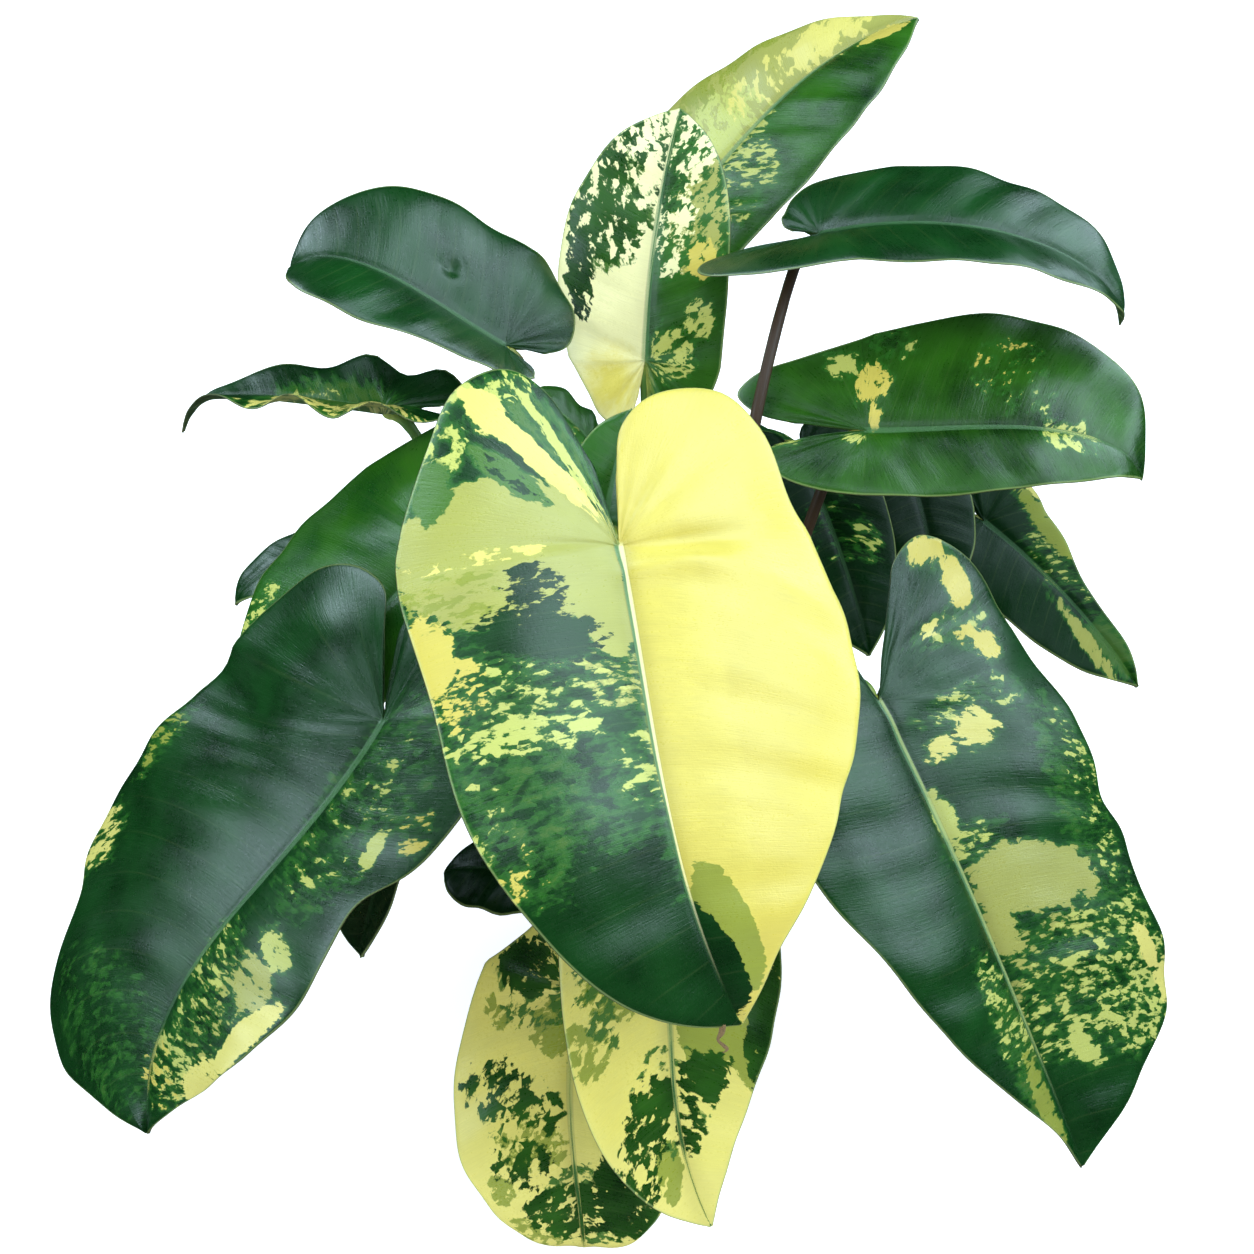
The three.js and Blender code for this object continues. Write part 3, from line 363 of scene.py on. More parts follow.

# Each leaf's look. shade and tint: the two greens of the ground. dimmed: how bright its painted tones are;
# it darkens some leaves' tones and brightens others' to how each is lit, painted shade and light over the
# leaf's own tones.
# ribbed: how pale the rib is, 0 to 1. rib: the rib's tones on its left and right side.
# halves: a tone that fills one whole half of the blade.
# marks: (tone, along, across, reach along, reach across, turn, ragged, fill). Places are on the flat blade,
# across is negative left of the rib, and turn leans the mark's long side to the right.
# ragged is how far the mark's edge strays, and fill below 1 breaks the mark up into speckle.
# Marks are painted in the order grass, the tones of PAINTS, dark.
# weave: how wide and how long the specks are. gloss: the strength of the sheen.
# lead: how far the side veins run forwards on the left and right halves.
# dents: (along, across, reach along, reach across, height) of soft hollows and swells in millimetres.
LOOKS = {
    "front_centre": {
        "halves": {"right": "yellow"}, "ribbed": 1.0, "rib": ("vein", "cream"), "lead": (0.04, 0.13),
        "dents": [
            (2, 26, 5, 26, -3.0), (12, 16, 5, 20, 2.2), (40, -30, 30, 30, 1.6), (104, -24, 14, 30, 2.0),
        ],
        "marks": [
            ("olive", 147, 9, 27, 10, 4, 2, 3), ("dark", 157, 0, 25, 10, 6, 1.6, 3),
            ("sage", 2, -42, 33, 44, 0, 4, 3), ("sage", 27, -10, 19, 12, 0, 3, 3),
            ("dark", 18, -35, 12, 12, 0, 4, 0.6), ("dark", 35, -36, 11, 24, -6, 7, 0.9),
            ("olive", 18, -62, 11, 20, 0, 5, 0.1), ("yellow", 38, -74, 17, 9, 6, 3, 3),
            ("straw", 3, -55, 4, 28, 4, 3, 0.1), ("yellow", 28, -47, 3, 4, 0, 1.5, 2),
            ("yellow", 52, -68, 14, 12, 0, 5, 0.25), ("lime", 58, -56, 20, 24, 0, 6, 0.0),
            ("lime", 70, -42, 6, 26, 2, 4, 0.5), ("lime", 54, -32, 12, 26, 0, 6, -0.15),
            ("sage", 50, -10, 14, 12, 0, 5, 0.1), ("lime", 86, -6, 14, 8, 0, 5, 0.1),
            ("grass", 92, -58, 26, 22, 0, 9, 0.0), ("yellow", 112, -56, 9, 8, 0, 4, -0.12),
            ("grass", 92, -30, 16, 30, 0, 9, -0.2), ("lime", 98, -64, 14, 8, 0, 5, -0.25),
            ("straw", -40, -27, 37, 5, 36, 3, 3), ("straw", -58, -41, 13, 8, 25, 3, 2),
            ("lime", -44, -17, 34, 2.4, 22, 2, 0.7), ("grass", -48, -20, 30, 8, 25, 5, 0.3),
            ("lime", -45, -60, 28, 9, -18, 5, 0.05), ("lime", -70, -38, 8, 16, 0, 5, 0.1),
            ("moss", -30, -37, 19, 6, 43, 3, 1.6), ("moss", -27, -66, 14, 9, -14, 4, 0.9),
            ("dark", -30, -37, 14, 4, 43, 3, 0.1), ("butter", 70, 14, 96, 18, 0, 16, 0.55),
        ],
    },
    "front_left": {
        "ribbed": 0.62, "dimmed": 0.85, "lead": (0.28, -0.1),
        "dents": [(26, -72, 40, 24, -4.0), (-24, -46, 16, 26, 1.6)],
        "marks": [
            ("lime", 36, 18, 34, 13, 0, 6, -0.3), ("lime", 36, 36, 9, 4, 8, 2.5, 1.4),
            ("yellow", 24, 46, 6, 6, 0, 4, 0.1), ("lime", 88, 30, 6, 10, 0, 4, 0.5),
            ("sage", 106, 32, 12, 12, 30, 5, 0.6), ("straw", 124, 45, 28, 6, -4, 3, 2),
            ("sage", 130, 22, 26, 16, 10, 6, 0.0), ("lime", 128, 10, 30, 10, 6, 6, -0.15),
            ("straw", 158, 38, 24, 7, -24, 5, 0.8), ("lime", 172, 16, 18, 16, -40, 6, 0.2),
            ("yellow", 182, 10, 14, 14, -40, 6, 0.0), ("olive", 94, -94, 18, 6, 0, 8, 0.3),
            ("straw", 142, -92, 10, 12, 20, 8, 0.3), ("grass", 182, -30, 22, 38, 0, 9, -0.45),
            ("grass", 30, 18, 44, 20, 0, 9, -0.25),
        ],
    },
    "front_right": {
        "ribbed": 0.9, "rib": ("vein", "rib"), "dimmed": 0.74, "lead": (-0.08, 0.2),
        "dents": [
            (8, 30, 7, 40, 2.0), (-14, 40, 6, 40, -1.6), (40, 60, 24, 18, 1.6), (70, -30, 30, 14, -1.5),
        ],
        "marks": [
            ("yellow", -47, 54, 6, 12, 8, 4, 0.7), ("yellow", -28, 60, 12, 8, 0, 3, 1.4),
            ("straw", -17, 40, 3, 9, 20, 3, 0.5), ("yellow", -8, 53, 6, 6, 0, 4, 0.5),
            ("yellow", 0, 62, 7, 7, 0, 4, 0.6), ("lime", -14, 50, 6, 20, 0, 5, 0.0),
            ("lime", 15, 36, 6, 22, 0, 5, 0.05), ("straw", 27, 36, 9, 11, 0, 4, 1.0),
            ("straw", 28, 16, 5, 9, 0, 4, 0.4), ("lime", 22, 60, 6, 9, 0, 5, 0.1),
            ("lime", 52, 3, 11, 6, 0, 2.5, 1.3), ("lime", 66, 10, 6, 13, 0, 5, 0.1),
            ("sage", 93, 30, 32, 15, 58, 4, 3), ("sage", 88, 14, 12, 14, 0, 3, 3),
            ("sage", 104, 6, 14, 7, 0, 4, 1.2), ("sage", 108, 56, 14, 8, 20, 4, 1.2),
            ("grass", 84, 72, 50, 16, 0, 9, -0.1), ("sage", 134, 24, 24, 26, 20, 7, 0.1),
            ("lime", 92, 78, 50, 9, 0, 6, -0.12),
            ("lime", 146, 30, 26, 34, 20, 7, 0.0), ("lime", 164, 62, 34, 26, 0, 8, 0.15),
            ("lime", 172, 22, 14, 6, 25, 4, 1.2), ("straw", 160, 77, 17, 6, 10, 4, 1.2),
            ("straw", 184, 84, 13, 8, 0, 5, 0.9), ("lime", 136, -12, 28, 9, 0, 6, 0.1),
            ("grass", 150, -10, 34, 10, 0, 6, 0.4), ("olive", 178, -9, 26, 6, 0, 5, 0.6),
        ],
    },
    "low_centre": {
        "halves": {"left": "straw", "right": "straw"}, "ribbed": 0.5, "dimmed": 1.06, "tint": "fresh",
        "weave": (5.5, 7.0),
        "marks": [
            ("olive", 46, -26, 14, 12, 20, 5, 0.6), ("olive", 66, -34, 14, 10, 0, 5, 0.4),
            ("butter", 50, -24, 60, 22, 0, 12, 0.6), ("olive", 44, 14, 50, 13, 0, 4, 1.6),
            ("moss", 52, -30, 16, 8, 20, 5, 0.3), ("moss", 80, 40, 26, 9, 10, 5, 0.5),
            ("moss", 92, -2, 24, 16, 0, 6, 0.1),
            ("olive", 78, 34, 30, 10, 20, 3, 3), ("dark", 60, 40, 32, 9, -10, 4, 1.0),
            ("dark", 84, 12, 13, 11, -20, 4, 0.9), ("dark", 94, -10, 16, 10, -24, 4, 0.8),
            ("olive", 120, -8, 14, 6, -10, 3, 1.0), ("dark", 112, -18, 22, 10, -20, 5, 0.3),
            ("dark", 106, 4, 12, 6, 0, 4, 0.4), ("dark", 22, -10, 30, 20, 0, 5, 0.0),
        ],
    },
    "low_left": {
        "halves": {"left": "straw", "right": "straw"}, "ribbed": 0.3, "dimmed": 1.02, "tint": "fresh",
        "weave": (6.0, 6.5),
        "marks": [
            ("dark", -4, -24, 13, 14, 0, 4, 0.8), ("olive", 16, -6, 14, 14, 0, 5, 0.7),
            ("olive", 12, -28, 10, 12, 0, 5, 0.3), ("dark", 44, -30, 12, 16, 0, 5, 0.3),
            ("dark", 52, -12, 9, 10, 0, 5, 0.3), ("olive", 66, -18, 12, 16, 0, 5, 0.5),
            ("dark", 72, -22, 12, 14, -20, 5, 0.3), ("dark", 98, -4, 16, 20, 0, 5, 0.6),
            ("dark", 92, 22, 26, 18, 0, 5, 0.9), ("dark", 60, 30, 26, 16, 0, 5, 0.5),
            ("olive", 84, -32, 8, 8, 0, 4, 0.5), ("olive", 112, -22, 14, 14, 0, 4, 0.4),
            ("butter", 20, -20, 50, 30, 0, 12, 0.5), ("moss", 0, -18, 20, 20, 0, 6, 0.3),
            ("moss", 96, 4, 22, 24, 0, 6, 0.5), ("moss", 50, -22, 14, 20, 0, 6, 0.0),
        ],
    },
    "top_centre": {
        "halves": {"right": "cream"}, "ribbed": 0.6, "dimmed": 1.0, "weave": (5.2, 5.6), "tint": "fresh",
        "dents": [(6, 10, 10, 5, -1.2), (14, 22, 12, 5, 1.0)],
        "marks": [
            ("butter", -12, 14, 24, 22, 0, 14, 2), ("dark", 34, 32, 18, 7, 10, 4, 0.9),
            ("dark", 56, 22, 15, 20, 0, 5, 0.55), ("dark", 74, 28, 20, 13, 0, 5, 0.5),
            ("dark", 78, 8, 14, 10, 16, 5, 0.1), ("dark", 94, 14, 12, 14, 0, 5, 0.1),
            ("moss", 64, 22, 26, 22, 0, 7, 0.35), ("moss", 96, 10, 16, 12, 0, 6, 0.1),
            ("lime", 20, -24, 9, 7, 0, 4, 0.7), ("lime", 3, -13, 11, 9, 0, 6, 0.2),
            ("yellow", 47, -22, 9, 7, 0, 4, 0.9), ("cream", 58, -8, 20, 9, 0, 5, 0.2),
            ("sage", 66, -18, 26, 14, 0, 5, 0.3), ("cream", 94, -10, 16, 10, 0, 5, 0.2),
        ],
    },
    "top_right": {
        "halves": {"right": "sage"}, "ribbed": 0.7, "dimmed": 0.84, "weave": (5.0, 11.0), "tint": "fresh",
        "marks": [
            ("lime", 44, 16, 34, 24, 0, 14, 0.5), ("straw", 112, 12, 24, 12, 8, 10, 0.9),
            ("olive", 54, 40, 24, 9, 0, 10, 0.5), ("olive", 92, 36, 30, 6, -14, 6, 0.6),
            ("straw", 74, 16, 18, 12, 0, 10, 0.1), ("lime", 42, -17, 9, 15, -20, 5, 0.15),
            ("yellow", 134, -3, 15, 4, 0, 2.5, 1.5), ("lime", 20, -16, 14, 20, 0, 5, 0.1),
        ],
    },
    "upper_right": {"ribbed": 0.3, "tint": "green", "marks": []},
    "mid_right": {
        "ribbed": 0.55, "tint": "fresh", "weave": (4.4, 6.5),
        "marks": [
            ("yellow", 1, 22, 8, 10, 0, 4, 0.9), ("yellow", 3, 7, 2.5, 8, 0, 2, 0.8),
            ("lime", -12, 31, 9, 6, -30, 4, 0.5), ("lime", -36, -3, 8, 6, 0, 4, 0.3),
            ("lime", -5, -5, 4, 3, 0, 2.5, 0.8), ("yellow", 57, 28, 13, 14, 10, 5, -0.3),
            ("lime", 66, 16, 8, 12, 0, 5, -0.3), ("lime", 84, -2, 11, 7, 0, 5, 0.1),
            ("lime", 8, 42, 10, 8, 0, 5, -0.3),
        ],
    },
    "upper_left": {"ribbed": 0.35, "dents": [(36, -19, 4.5, 3.5, -3.4)], "marks": []},
    "mid_left": {
        "ribbed": 0.3,
        "marks": [
            ("straw", 1, 18, 13, 17, 0, 6, 0.5), ("straw", 40, 16, 6, 17, 4, 4, 0.6),
            ("straw", 20, 24, 38, 7, 0, 6, 0.4), ("grass", 20, 12, 30, 26, 0, 8, 0.6),
            ("lime", 30, -4, 10, 4, 0, 4, 0.1),
        ],
    },
    "left_green": {
        "shade": "green", "tint": "fresh", "ribbed": 0.5,
        "marks": [("lime", 74, -58, 14, 7, 0, 6, 0.0)],
    },
    "right_inner": {
        "shade": "deep", "tint": "deep", "ribbed": 0.2, "gloss": 0.1,
        "marks": [("lime", 50, 14, 8, 6, 0, 4, 0.1), ("lime", 40, 2, 14, 12, 0, 5, -0.55)],
    },
    "right_low": {
        "shade": "deep", "tint": "deep", "ribbed": 0.4, "gloss": 0.1, "dimmed": 0.62,
        "marks": [
            ("olive", 22, 21, 24, 7, -12, 5, 1.0), ("straw", 10, 30, 14, 4, -10, 3, 1.0),
            ("sage", 76, -9, 26, 4, -6, 5, 0.7), ("grass", 86, 0, 18, 8, 0, 6, 1.0),
            ("lime", 40, 10, 20, 10, 0, 5, -0.1),
        ],
    },
    "right_back": {"shade": "deep", "tint": "deep", "ribbed": 0.1, "gloss": 0.12, "marks": []},
    "left_low_tip": {"shade": "deep", "tint": "green", "ribbed": 0.2, "marks": []},
    "back_left": {
        "shade": "green", "tint": "fresh", "ribbed": 0.4,
        "marks": [("lime", 20, 8, 14, 8, 0, 5, -0.1)],
    },
    "back_inner": {"shade": "green", "tint": "fresh", "ribbed": 0.4, "marks": []},
    "low_dark": {"shade": "deep", "tint": "deep", "ribbed": 0.1, "gloss": 0.15, "marks": []},
    "under_left": {"shade": "deep", "tint": "deep", "ribbed": 0.1, "marks": []},
    "back_low_left": {
        "ribbed": 0.6,
        "marks": [("lime", 50, 14, 26, 16, 0, 7, 0.0), ("yellow", 70, -20, 16, 12, 0, 6, 0.2)],
    },
    "back_low_right": {
        "ribbed": 0.6,
        "marks": [("yellow", 40, -14, 20, 12, 0, 6, 0.3), ("lime", 66, 16, 20, 14, 0, 7, -0.1)],
    },
    "back_low_centre": {
        "ribbed": 0.7,
        "marks": [("yellow", 60, 18, 26, 16, 0, 7, 0.3), ("lime", 46, -18, 24, 16, 0, 7, -0.1)],
    },
}


def tone(name, dim=1.0):
    """A named colour as linear red, green, blue and alpha."""

    def linear(level):
        level = level / 255
        return level / 12.92 if level <= 0.04045 else ((level + 0.055) / 1.055) ** 2.4

    return tuple(linear(level) * dim for level in TONES[name]) + (1.0,)


# The crumbly stuffs: two colours, the roughness and the pitch of the crumbs in cycles per metre.
CRUMBS = {
    "soil_peat": (tone("wine", 0.45), tone("bark", 0.8), 0.8, 900.0),
    "soil_bark_chip": (tone("bark"), (0.16, 0.09, 0.05, 1.0), 0.7, 500.0),
    "soil_white_grain": ((0.62, 0.6, 0.55, 1.0), (0.8, 0.78, 0.74, 1.0), 0.8, 700.0),
    "dried_tip": ((0.15, 0.09, 0.035, 1.0), (0.26, 0.17, 0.07, 1.0), 0.7, 1200.0),
}


# Node trees written as expressions.


class Value:
    """A number in a node tree. Arithmetic on it adds Math nodes."""

    def __init__(self, graph, socket):
        self.graph = graph
        self.socket = socket

    def math(self, operation, other=None, first=None):
        """The result of one Math node. The value comes second where a first one is given."""
        inputs = {0: self}
        if first is not None:
            inputs = {0: first, 1: self}
        elif other is not None:
            inputs[1] = other
        return Value(self.graph, self.graph.first("ShaderNodeMath", {"operation": operation}, inputs))

    def __add__(self, other):
        return self.math("ADD", other)

    def __sub__(self, other):
        return self.math("SUBTRACT", other)

    def __mul__(self, other):
        return self.math("MULTIPLY", other)

    def __truediv__(self, other):
        return self.math("DIVIDE", other)

    def __radd__(self, other):
        return self.math("ADD", first=other)

    def __rsub__(self, other):
        return self.math("SUBTRACT", first=other)

    def __rmul__(self, other):
        return self.math("MULTIPLY", first=other)

    def size(self):
        """The value without its sign."""
        return self.math("ABSOLUTE")

    def sine(self):
        """The sine of the value."""
        return self.math("SINE")

    def fold(self, period):
        """The distance from the nearest multiple of a period."""
        return self.math("PINGPONG", period / 2)

    def most(self, other):
        """The greater of two values."""
        return self.math("MAXIMUM", other)

    def held(self):
        """The value held between 0 and 1."""
        return self.most(0.0).math("MINIMUM", 1.0)

    def ramp(self, low, high):
        """A smooth step from 0 at low to 1 at high. low may be the greater."""
        smooth = {"interpolation_type": "SMOOTHSTEP"}
        inputs = {"Value": self, "From Min": low, "From Max": high}
        return Value(self.graph, self.graph.first("ShaderNodeMapRange", smooth, inputs))


class Graph:
    """A node tree and the short ways to add nodes to it."""

    def __init__(self, tree):
        self.tree = tree

    def node(self, kind, settings=None, inputs=None):
        """A new node with its settings and with values or links for its inputs."""
        made = self.tree.nodes.new(kind)
        for name, setting in (settings or {}).items():
            setattr(made, name, setting)
        for key, given in (inputs or {}).items():
            self.feed(made.inputs[key], given)
        return made

    def first(self, kind, settings=None, inputs=None):
        """The first output of a new node."""
        return self.node(kind, settings, inputs).outputs[0]

    def feed(self, socket, given):
        """Links a socket to a value or to another socket, or sets its number."""
        if isinstance(given, Value):
            given = given.socket
        if isinstance(given, bpy.types.NodeSocket):
            self.tree.links.new(given, socket)
        elif socket.type == "VECTOR" and len(given) == 4:
            socket.default_value = given[:3]
        else:
            socket.default_value = given

    def attribute(self, name):
        """The vector that a point attribute holds."""
        return self.node("ShaderNodeAttribute", {"attribute_name": name}).outputs["Vector"]

    def place(self):
        """The place on the object, in metres."""
        return self.node("ShaderNodeTexCoord").outputs["Object"]

    def parts(self, vector):
        """A vector's three numbers."""
        made = self.node("ShaderNodeSeparateXYZ", None, {0: vector})
        return [Value(self, socket) for socket in made.outputs]

    def vector(self, x, y, z):
        """A vector from three numbers."""
        return self.first("ShaderNodeCombineXYZ", None, {0: x, 1: y, 2: z})

    def noise(self, vector, scale=1.0, detail=2.0, roughness=0.5):
        """A noise pattern's level, from 0 to 1."""
        inputs = {"Vector": vector, "Scale": scale, "Detail": detail, "Roughness": roughness}
        return Value(self, self.first("ShaderNodeTexNoise", None, inputs))

    def cells(self, vector, scale=1.0):
        """A random level for each cell of a Voronoi pattern."""
        made = self.node("ShaderNodeTexVoronoi", None, {"Vector": vector, "Scale": scale})
        return self.parts(made.outputs["Color"])[0]

    def blend(self, share, one, other):
        """From colour one, at share 0, to colour other, at share 1."""
        return self.node("ShaderNodeMix", {"data_type": "RGBA"}, {0: share, 6: one, 7: other}).outputs[2]

    def scaled(self, colour, level):
        """A colour made brighter or darker by a number."""
        return self.first("ShaderNodeVectorMath", {"operation": "SCALE"}, {0: colour, "Scale": level})

    def bump(self, height, depth, strength=1.0):
        """A normal from a height between 0 and 1. depth is in millimetres."""
        inputs = {"Strength": strength, "Distance": depth * MM, "Height": height}
        return self.first("ShaderNodeBump", None, inputs)


def material_with(name):
    """A new material and its graph."""
    material = bpy.data.materials.new(name)
    material.use_nodes = True
    material.node_tree.nodes.clear()
    return material, Graph(material.node_tree)


def surface(graph, **inputs):
    """The Principled shader and the output that end a material."""
    named = {key.replace("_", " ").title().replace("Ior", "IOR"): given for key, given in inputs.items()}
    shader = graph.first("ShaderNodeBsdfPrincipled", None, named)
    graph.node("ShaderNodeOutputMaterial", None, {0: shader})


def node_group(name, inputs, output):
    """A new node group, its graph, and the sockets that give its named inputs."""
    group = bpy.data.node_groups.new(name, "GeometryNodeTree")
    for label, kind in inputs.items():
        group.interface.new_socket(label, in_out="INPUT", socket_type="NodeSocket" + kind)
    group.interface.new_socket(output, in_out="OUTPUT", socket_type="NodeSocketGeometry")
    graph = Graph(group)
    return group, graph, graph.node("NodeGroupInput").outputs


def end_group(graph, output, made, material):
    """Makes a node group's instances real, sets their material and gives them out."""
    real = graph.first("GeometryNodeRealizeInstances", None, {"Geometry": made})
    done = graph.first("GeometryNodeSetMaterial", None, {"Geometry": real, "Material": material})
    graph.node("NodeGroupOutput", None, {output: done})


# Meshes.


def made_object(name, points, faces, material, attributes=None, flat=None):
    """A mesh object from points in millimetres, with point attributes and a UV map."""
    mesh = bpy.data.meshes.new(name)
    mesh.from_pydata((np.asarray(points) * MM).tolist(), [], faces)
    for key, values in (attributes or {}).items():
        point_values(mesh, key, values)
    if flat is not None:
        corners = np.zeros(len(mesh.loops), np.int32)
        mesh.loops.foreach_get("vertex_index", corners)
        layer = mesh.uv_layers.new(name="flat")
        layer.data.foreach_set("uv", np.asarray(flat, np.float32)[corners].ravel())
    mesh.shade_smooth()
    mesh.materials.append(material)
    mesh.validate()
    made = bpy.data.objects.new(name, mesh)
    bpy.context.scene.collection.objects.link(made)
    return made


def point_values(mesh, name, values):
    """Gives each point of a mesh a number, or a vector where the values have rows of three."""
    values = np.asarray(values, np.float32)
    if values.ndim == 1:
        mesh.attributes.new(name, "FLOAT", "POINT").data.foreach_set("value", values)
    else:
        mesh.attributes.new(name, "FLOAT_VECTOR", "POINT").data.foreach_set("vector", values.ravel())


def settled(piece):
    """The piece with its modifiers worked into its mesh."""
    bpy.context.view_layer.update()
    evaluated = piece.evaluated_get(bpy.context.evaluated_depsgraph_get())
    mesh = bpy.data.meshes.new_from_object(evaluated)
    piece.modifiers.clear()
    old = piece.data
    piece.data = mesh
    mesh.name = piece.name
    if old.users == 0:
        bpy.data.meshes.remove(old)
    return piece


def placed(piece, slot, *nodes):
    """Seats a piece on the plant's one body, for the nodes that it stands for. slot is not used."""
    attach(piece, "root")
    if nodes:
        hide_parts(*nodes)
    return piece


# The plant's form, in millimetres.


def unit(v):
    """The vectors at a length of 1."""
    return v / np.linalg.norm(v, axis=-1, keepdims=True)


def curve_through(points, share):
    """Points at shares of a centripetal Catmull-Rom curve through the given points."""
    known = np.array(points, float)
    count = len(known)
    place = (count - 1) * np.atleast_1d(share)
    at = np.minimum(np.floor(place).astype(int), count - 2)
    w = (place - at)[:, None]
    known = np.vstack([2 * known[0] - known[1], known, 2 * known[-1] - known[-2]])
    p0, p1, p2, p3 = known[at], known[at + 1], known[at + 2], known[at + 3]

    def apart(a, b):
        return np.maximum(np.sum((a - b) ** 2, -1) ** 0.25, 1e-4)[:, None]

    d0, d1, d2 = apart(p0, p1), apart(p1, p2), apart(p2, p3)
    start = ((p1 - p0) / d0 - (p2 - p0) / (d0 + d1) + (p2 - p1) / d1) * d1
    end = ((p2 - p1) / d1 - (p3 - p1) / (d1 + d2) + (p3 - p2) / d2) * d1
    return (
        p1 + start * w + (3 * (p2 - p1) - 2 * start - end) * w ** 2
        + (2 * (p1 - p2) + start + end) * w ** 3
    )


class BladeForm:
    """Where the points of a flat blade lie in space.

    A point's place is given as along from the joint, across from the rib, and a side of the rib.
    """

    def __init__(self, leaf):
        self.leaf = leaf
        joint, tip = np.array(leaf["joint"], float), np.array(leaf["tip"], float)
        reach = np.linalg.norm(tip - joint)
        chord = (tip - joint) / reach
        up = np.array([0, 0, 1.0])
        normal = unit(up - (up @ chord) * chord)
        roll = math.radians(leaf["roll"])
        normal = normal * math.cos(roll) + np.cross(chord, normal) * math.sin(roll)
        self.right = np.cross(normal, chord)

        def heading(pitch, yaw):
            return unit(
                chord + normal * math.tan(math.radians(pitch)) + self.right * math.tan(math.radians(yaw))
            )

        leave = heading(leaf["rise"], leaf["sway"][0])
        arrive = heading(-leaf["fall"], leaf["sway"][1])
        pull = reach * RIB_PULL
        self.knots = joint, joint + leave * pull, tip - arrive * pull, tip
        self.shares = np.linspace(0, 1, 201)
        steps = np.linalg.norm(np.diff(self.rib(self.shares), axis=0), axis=1)
        self.lengths = np.concatenate([[0], np.cumsum(steps)])
        self.length = self.lengths[-1]
        self.lobe = max(leaf["lobe"])

    def rib(self, t):
        """The rib's place at shares of its curve."""
        t = np.asarray(t)[..., None]
        a, b, c, d = self.knots
        return a * (1 - t) ** 3 + 3 * b * t * (1 - t) ** 2 + 3 * c * t ** 2 * (1 - t) + d * t ** 3

    def frame(self, along):
        """The rib's place, tangent, right and normal at distances along."""
        share = np.clip(along / self.length, 0, 1)
        t = np.interp(share * self.length, self.lengths, self.shares)
        a, b, c, d = self.knots
        w = t[..., None]
        tangent = unit((b - a) * (1 - w) ** 2 + 2 * (c - b) * w * (1 - w) + (d - c) * w ** 2)
        place = self.rib(t)
        right = unit(self.right - (tangent @ self.right)[..., None] * tangent)
        normal = np.cross(tangent, right)
        back = np.minimum(along, 0)[..., None]
        bend = np.radians(self.leaf["lift"]) * -back / self.lobe
        place = place + tangent * back * np.cos(bend / 2) - normal * back * np.sin(bend / 2)
        past = np.maximum(0, (share - 0.8) / 0.2)[..., None]
        place = place - normal * self.leaf["hook"] * past ** 2
        return place, tangent, right, normal * np.cos(bend) + tangent * np.sin(bend)

    def at(self, along, across, side):
        """The places of points of the flat blade. side is -1 left of the rib and 1 right of it."""
        half = (side > 0).astype(int)
        fold = np.radians(np.array(self.leaf["fold"], float)[half])
        curl = np.radians(np.array(self.leaf["curl"], float)[half]) + 1e-4
        width = np.array(self.leaf["half"], float)[half]
        place, _, right, normal = self.frame(along)
        end = fold - curl * across / width
        out = width / curl * (np.sin(fold) - np.sin(end))
        height, count, phase = self.leaf["wave"]
        ripple = height * np.sin(2 * np.pi * (count * along / self.length + phase + 0.21 * side))
        rise = width / curl * (np.cos(end) - np.cos(fold)) + ripple * (across / width) ** 2
        return place + right * (side * out)[..., None] + normal * rise[..., None]

    def normal_at(self, along, across, side):
        """The blade's upward normals at points of the flat blade."""
        step = 0.5
        forward = self.at(along + step, across, side) - self.at(along - step, across, side)
        outward = self.at(along, across + step, side) - self.at(along, across - step, side)
        found = -unit(np.cross(outward * side[..., None], forward))
        on_rib = np.abs(across) < 1e-6
        found[on_rib] = self.frame(along)[3][on_rib]
        return found

    def edge(self, share, side):
        """One half's outline at shares of its way from the inner edge of the lobe to the tip."""
        half = 1 if side > 0 else 0
        x, y = curve_through(OUTLINES[self.leaf["shape"][half]], share).T
        along = np.where(x < 0, x * self.leaf["lobe"][half], x * self.length)
        across = y * self.leaf["half"][half]
        return along, np.where(x < 0, across, np.maximum(across, BLADE["tip_half"]))


def smooth_noise(x, y, seed):
    """A smooth uneven level about 0 from a few crossed waves."""
    total = np.zeros_like(x)
    for k in range(4):
        turn = seed * 1.7 + k * 2.4
        pitch = 1.0 + 0.55 * k
        total += np.sin(pitch * (x * math.cos(turn) + y * math.sin(turn)) + seed * 3.1 + k) / (1 + 0.5 * k)
    return total / 2.4


def half_rows(form, side, lead, lobe_rows, blade_rows):
    """For one half, each row's root on the rib, its end on the outline, and the vein count that it lies on.

    The lobe's rows fan out from the joint. The others start at even steps along the rib.
    """
    share = np.linspace(0, 1, OUTLINE_STEPS)
    along, across = form.edge(share, side)
    width = form.leaf["half"][1 if side > 0 else 0]
    root = along - lead * form.length * across / width
    root[-1] = form.length
    first = int(np.argmax(root > 0))
    climbing = np.maximum.accumulate(root[first:]) + np.arange(len(root) - first) * 1e-6
    wanted = form.length * (np.arange(1, blade_rows + 1) / blade_rows) ** 0.96
    wanted[-1] = climbing[-1]
    lobe = np.linspace(0, share[first], lobe_rows)
    shares = np.concatenate([lobe, np.interp(wanted, climbing, share[first:])])
    shares[-1] = 1.0
    roots = np.concatenate([np.zeros(lobe_rows), np.minimum(wanted, form.length)])
    end_along, end_across = form.edge(shares, side)
    fan = (lobe - share[first]) / share[first] * VEINS["fan"]
    return roots, end_along, end_across, np.concatenate([fan, wanted])


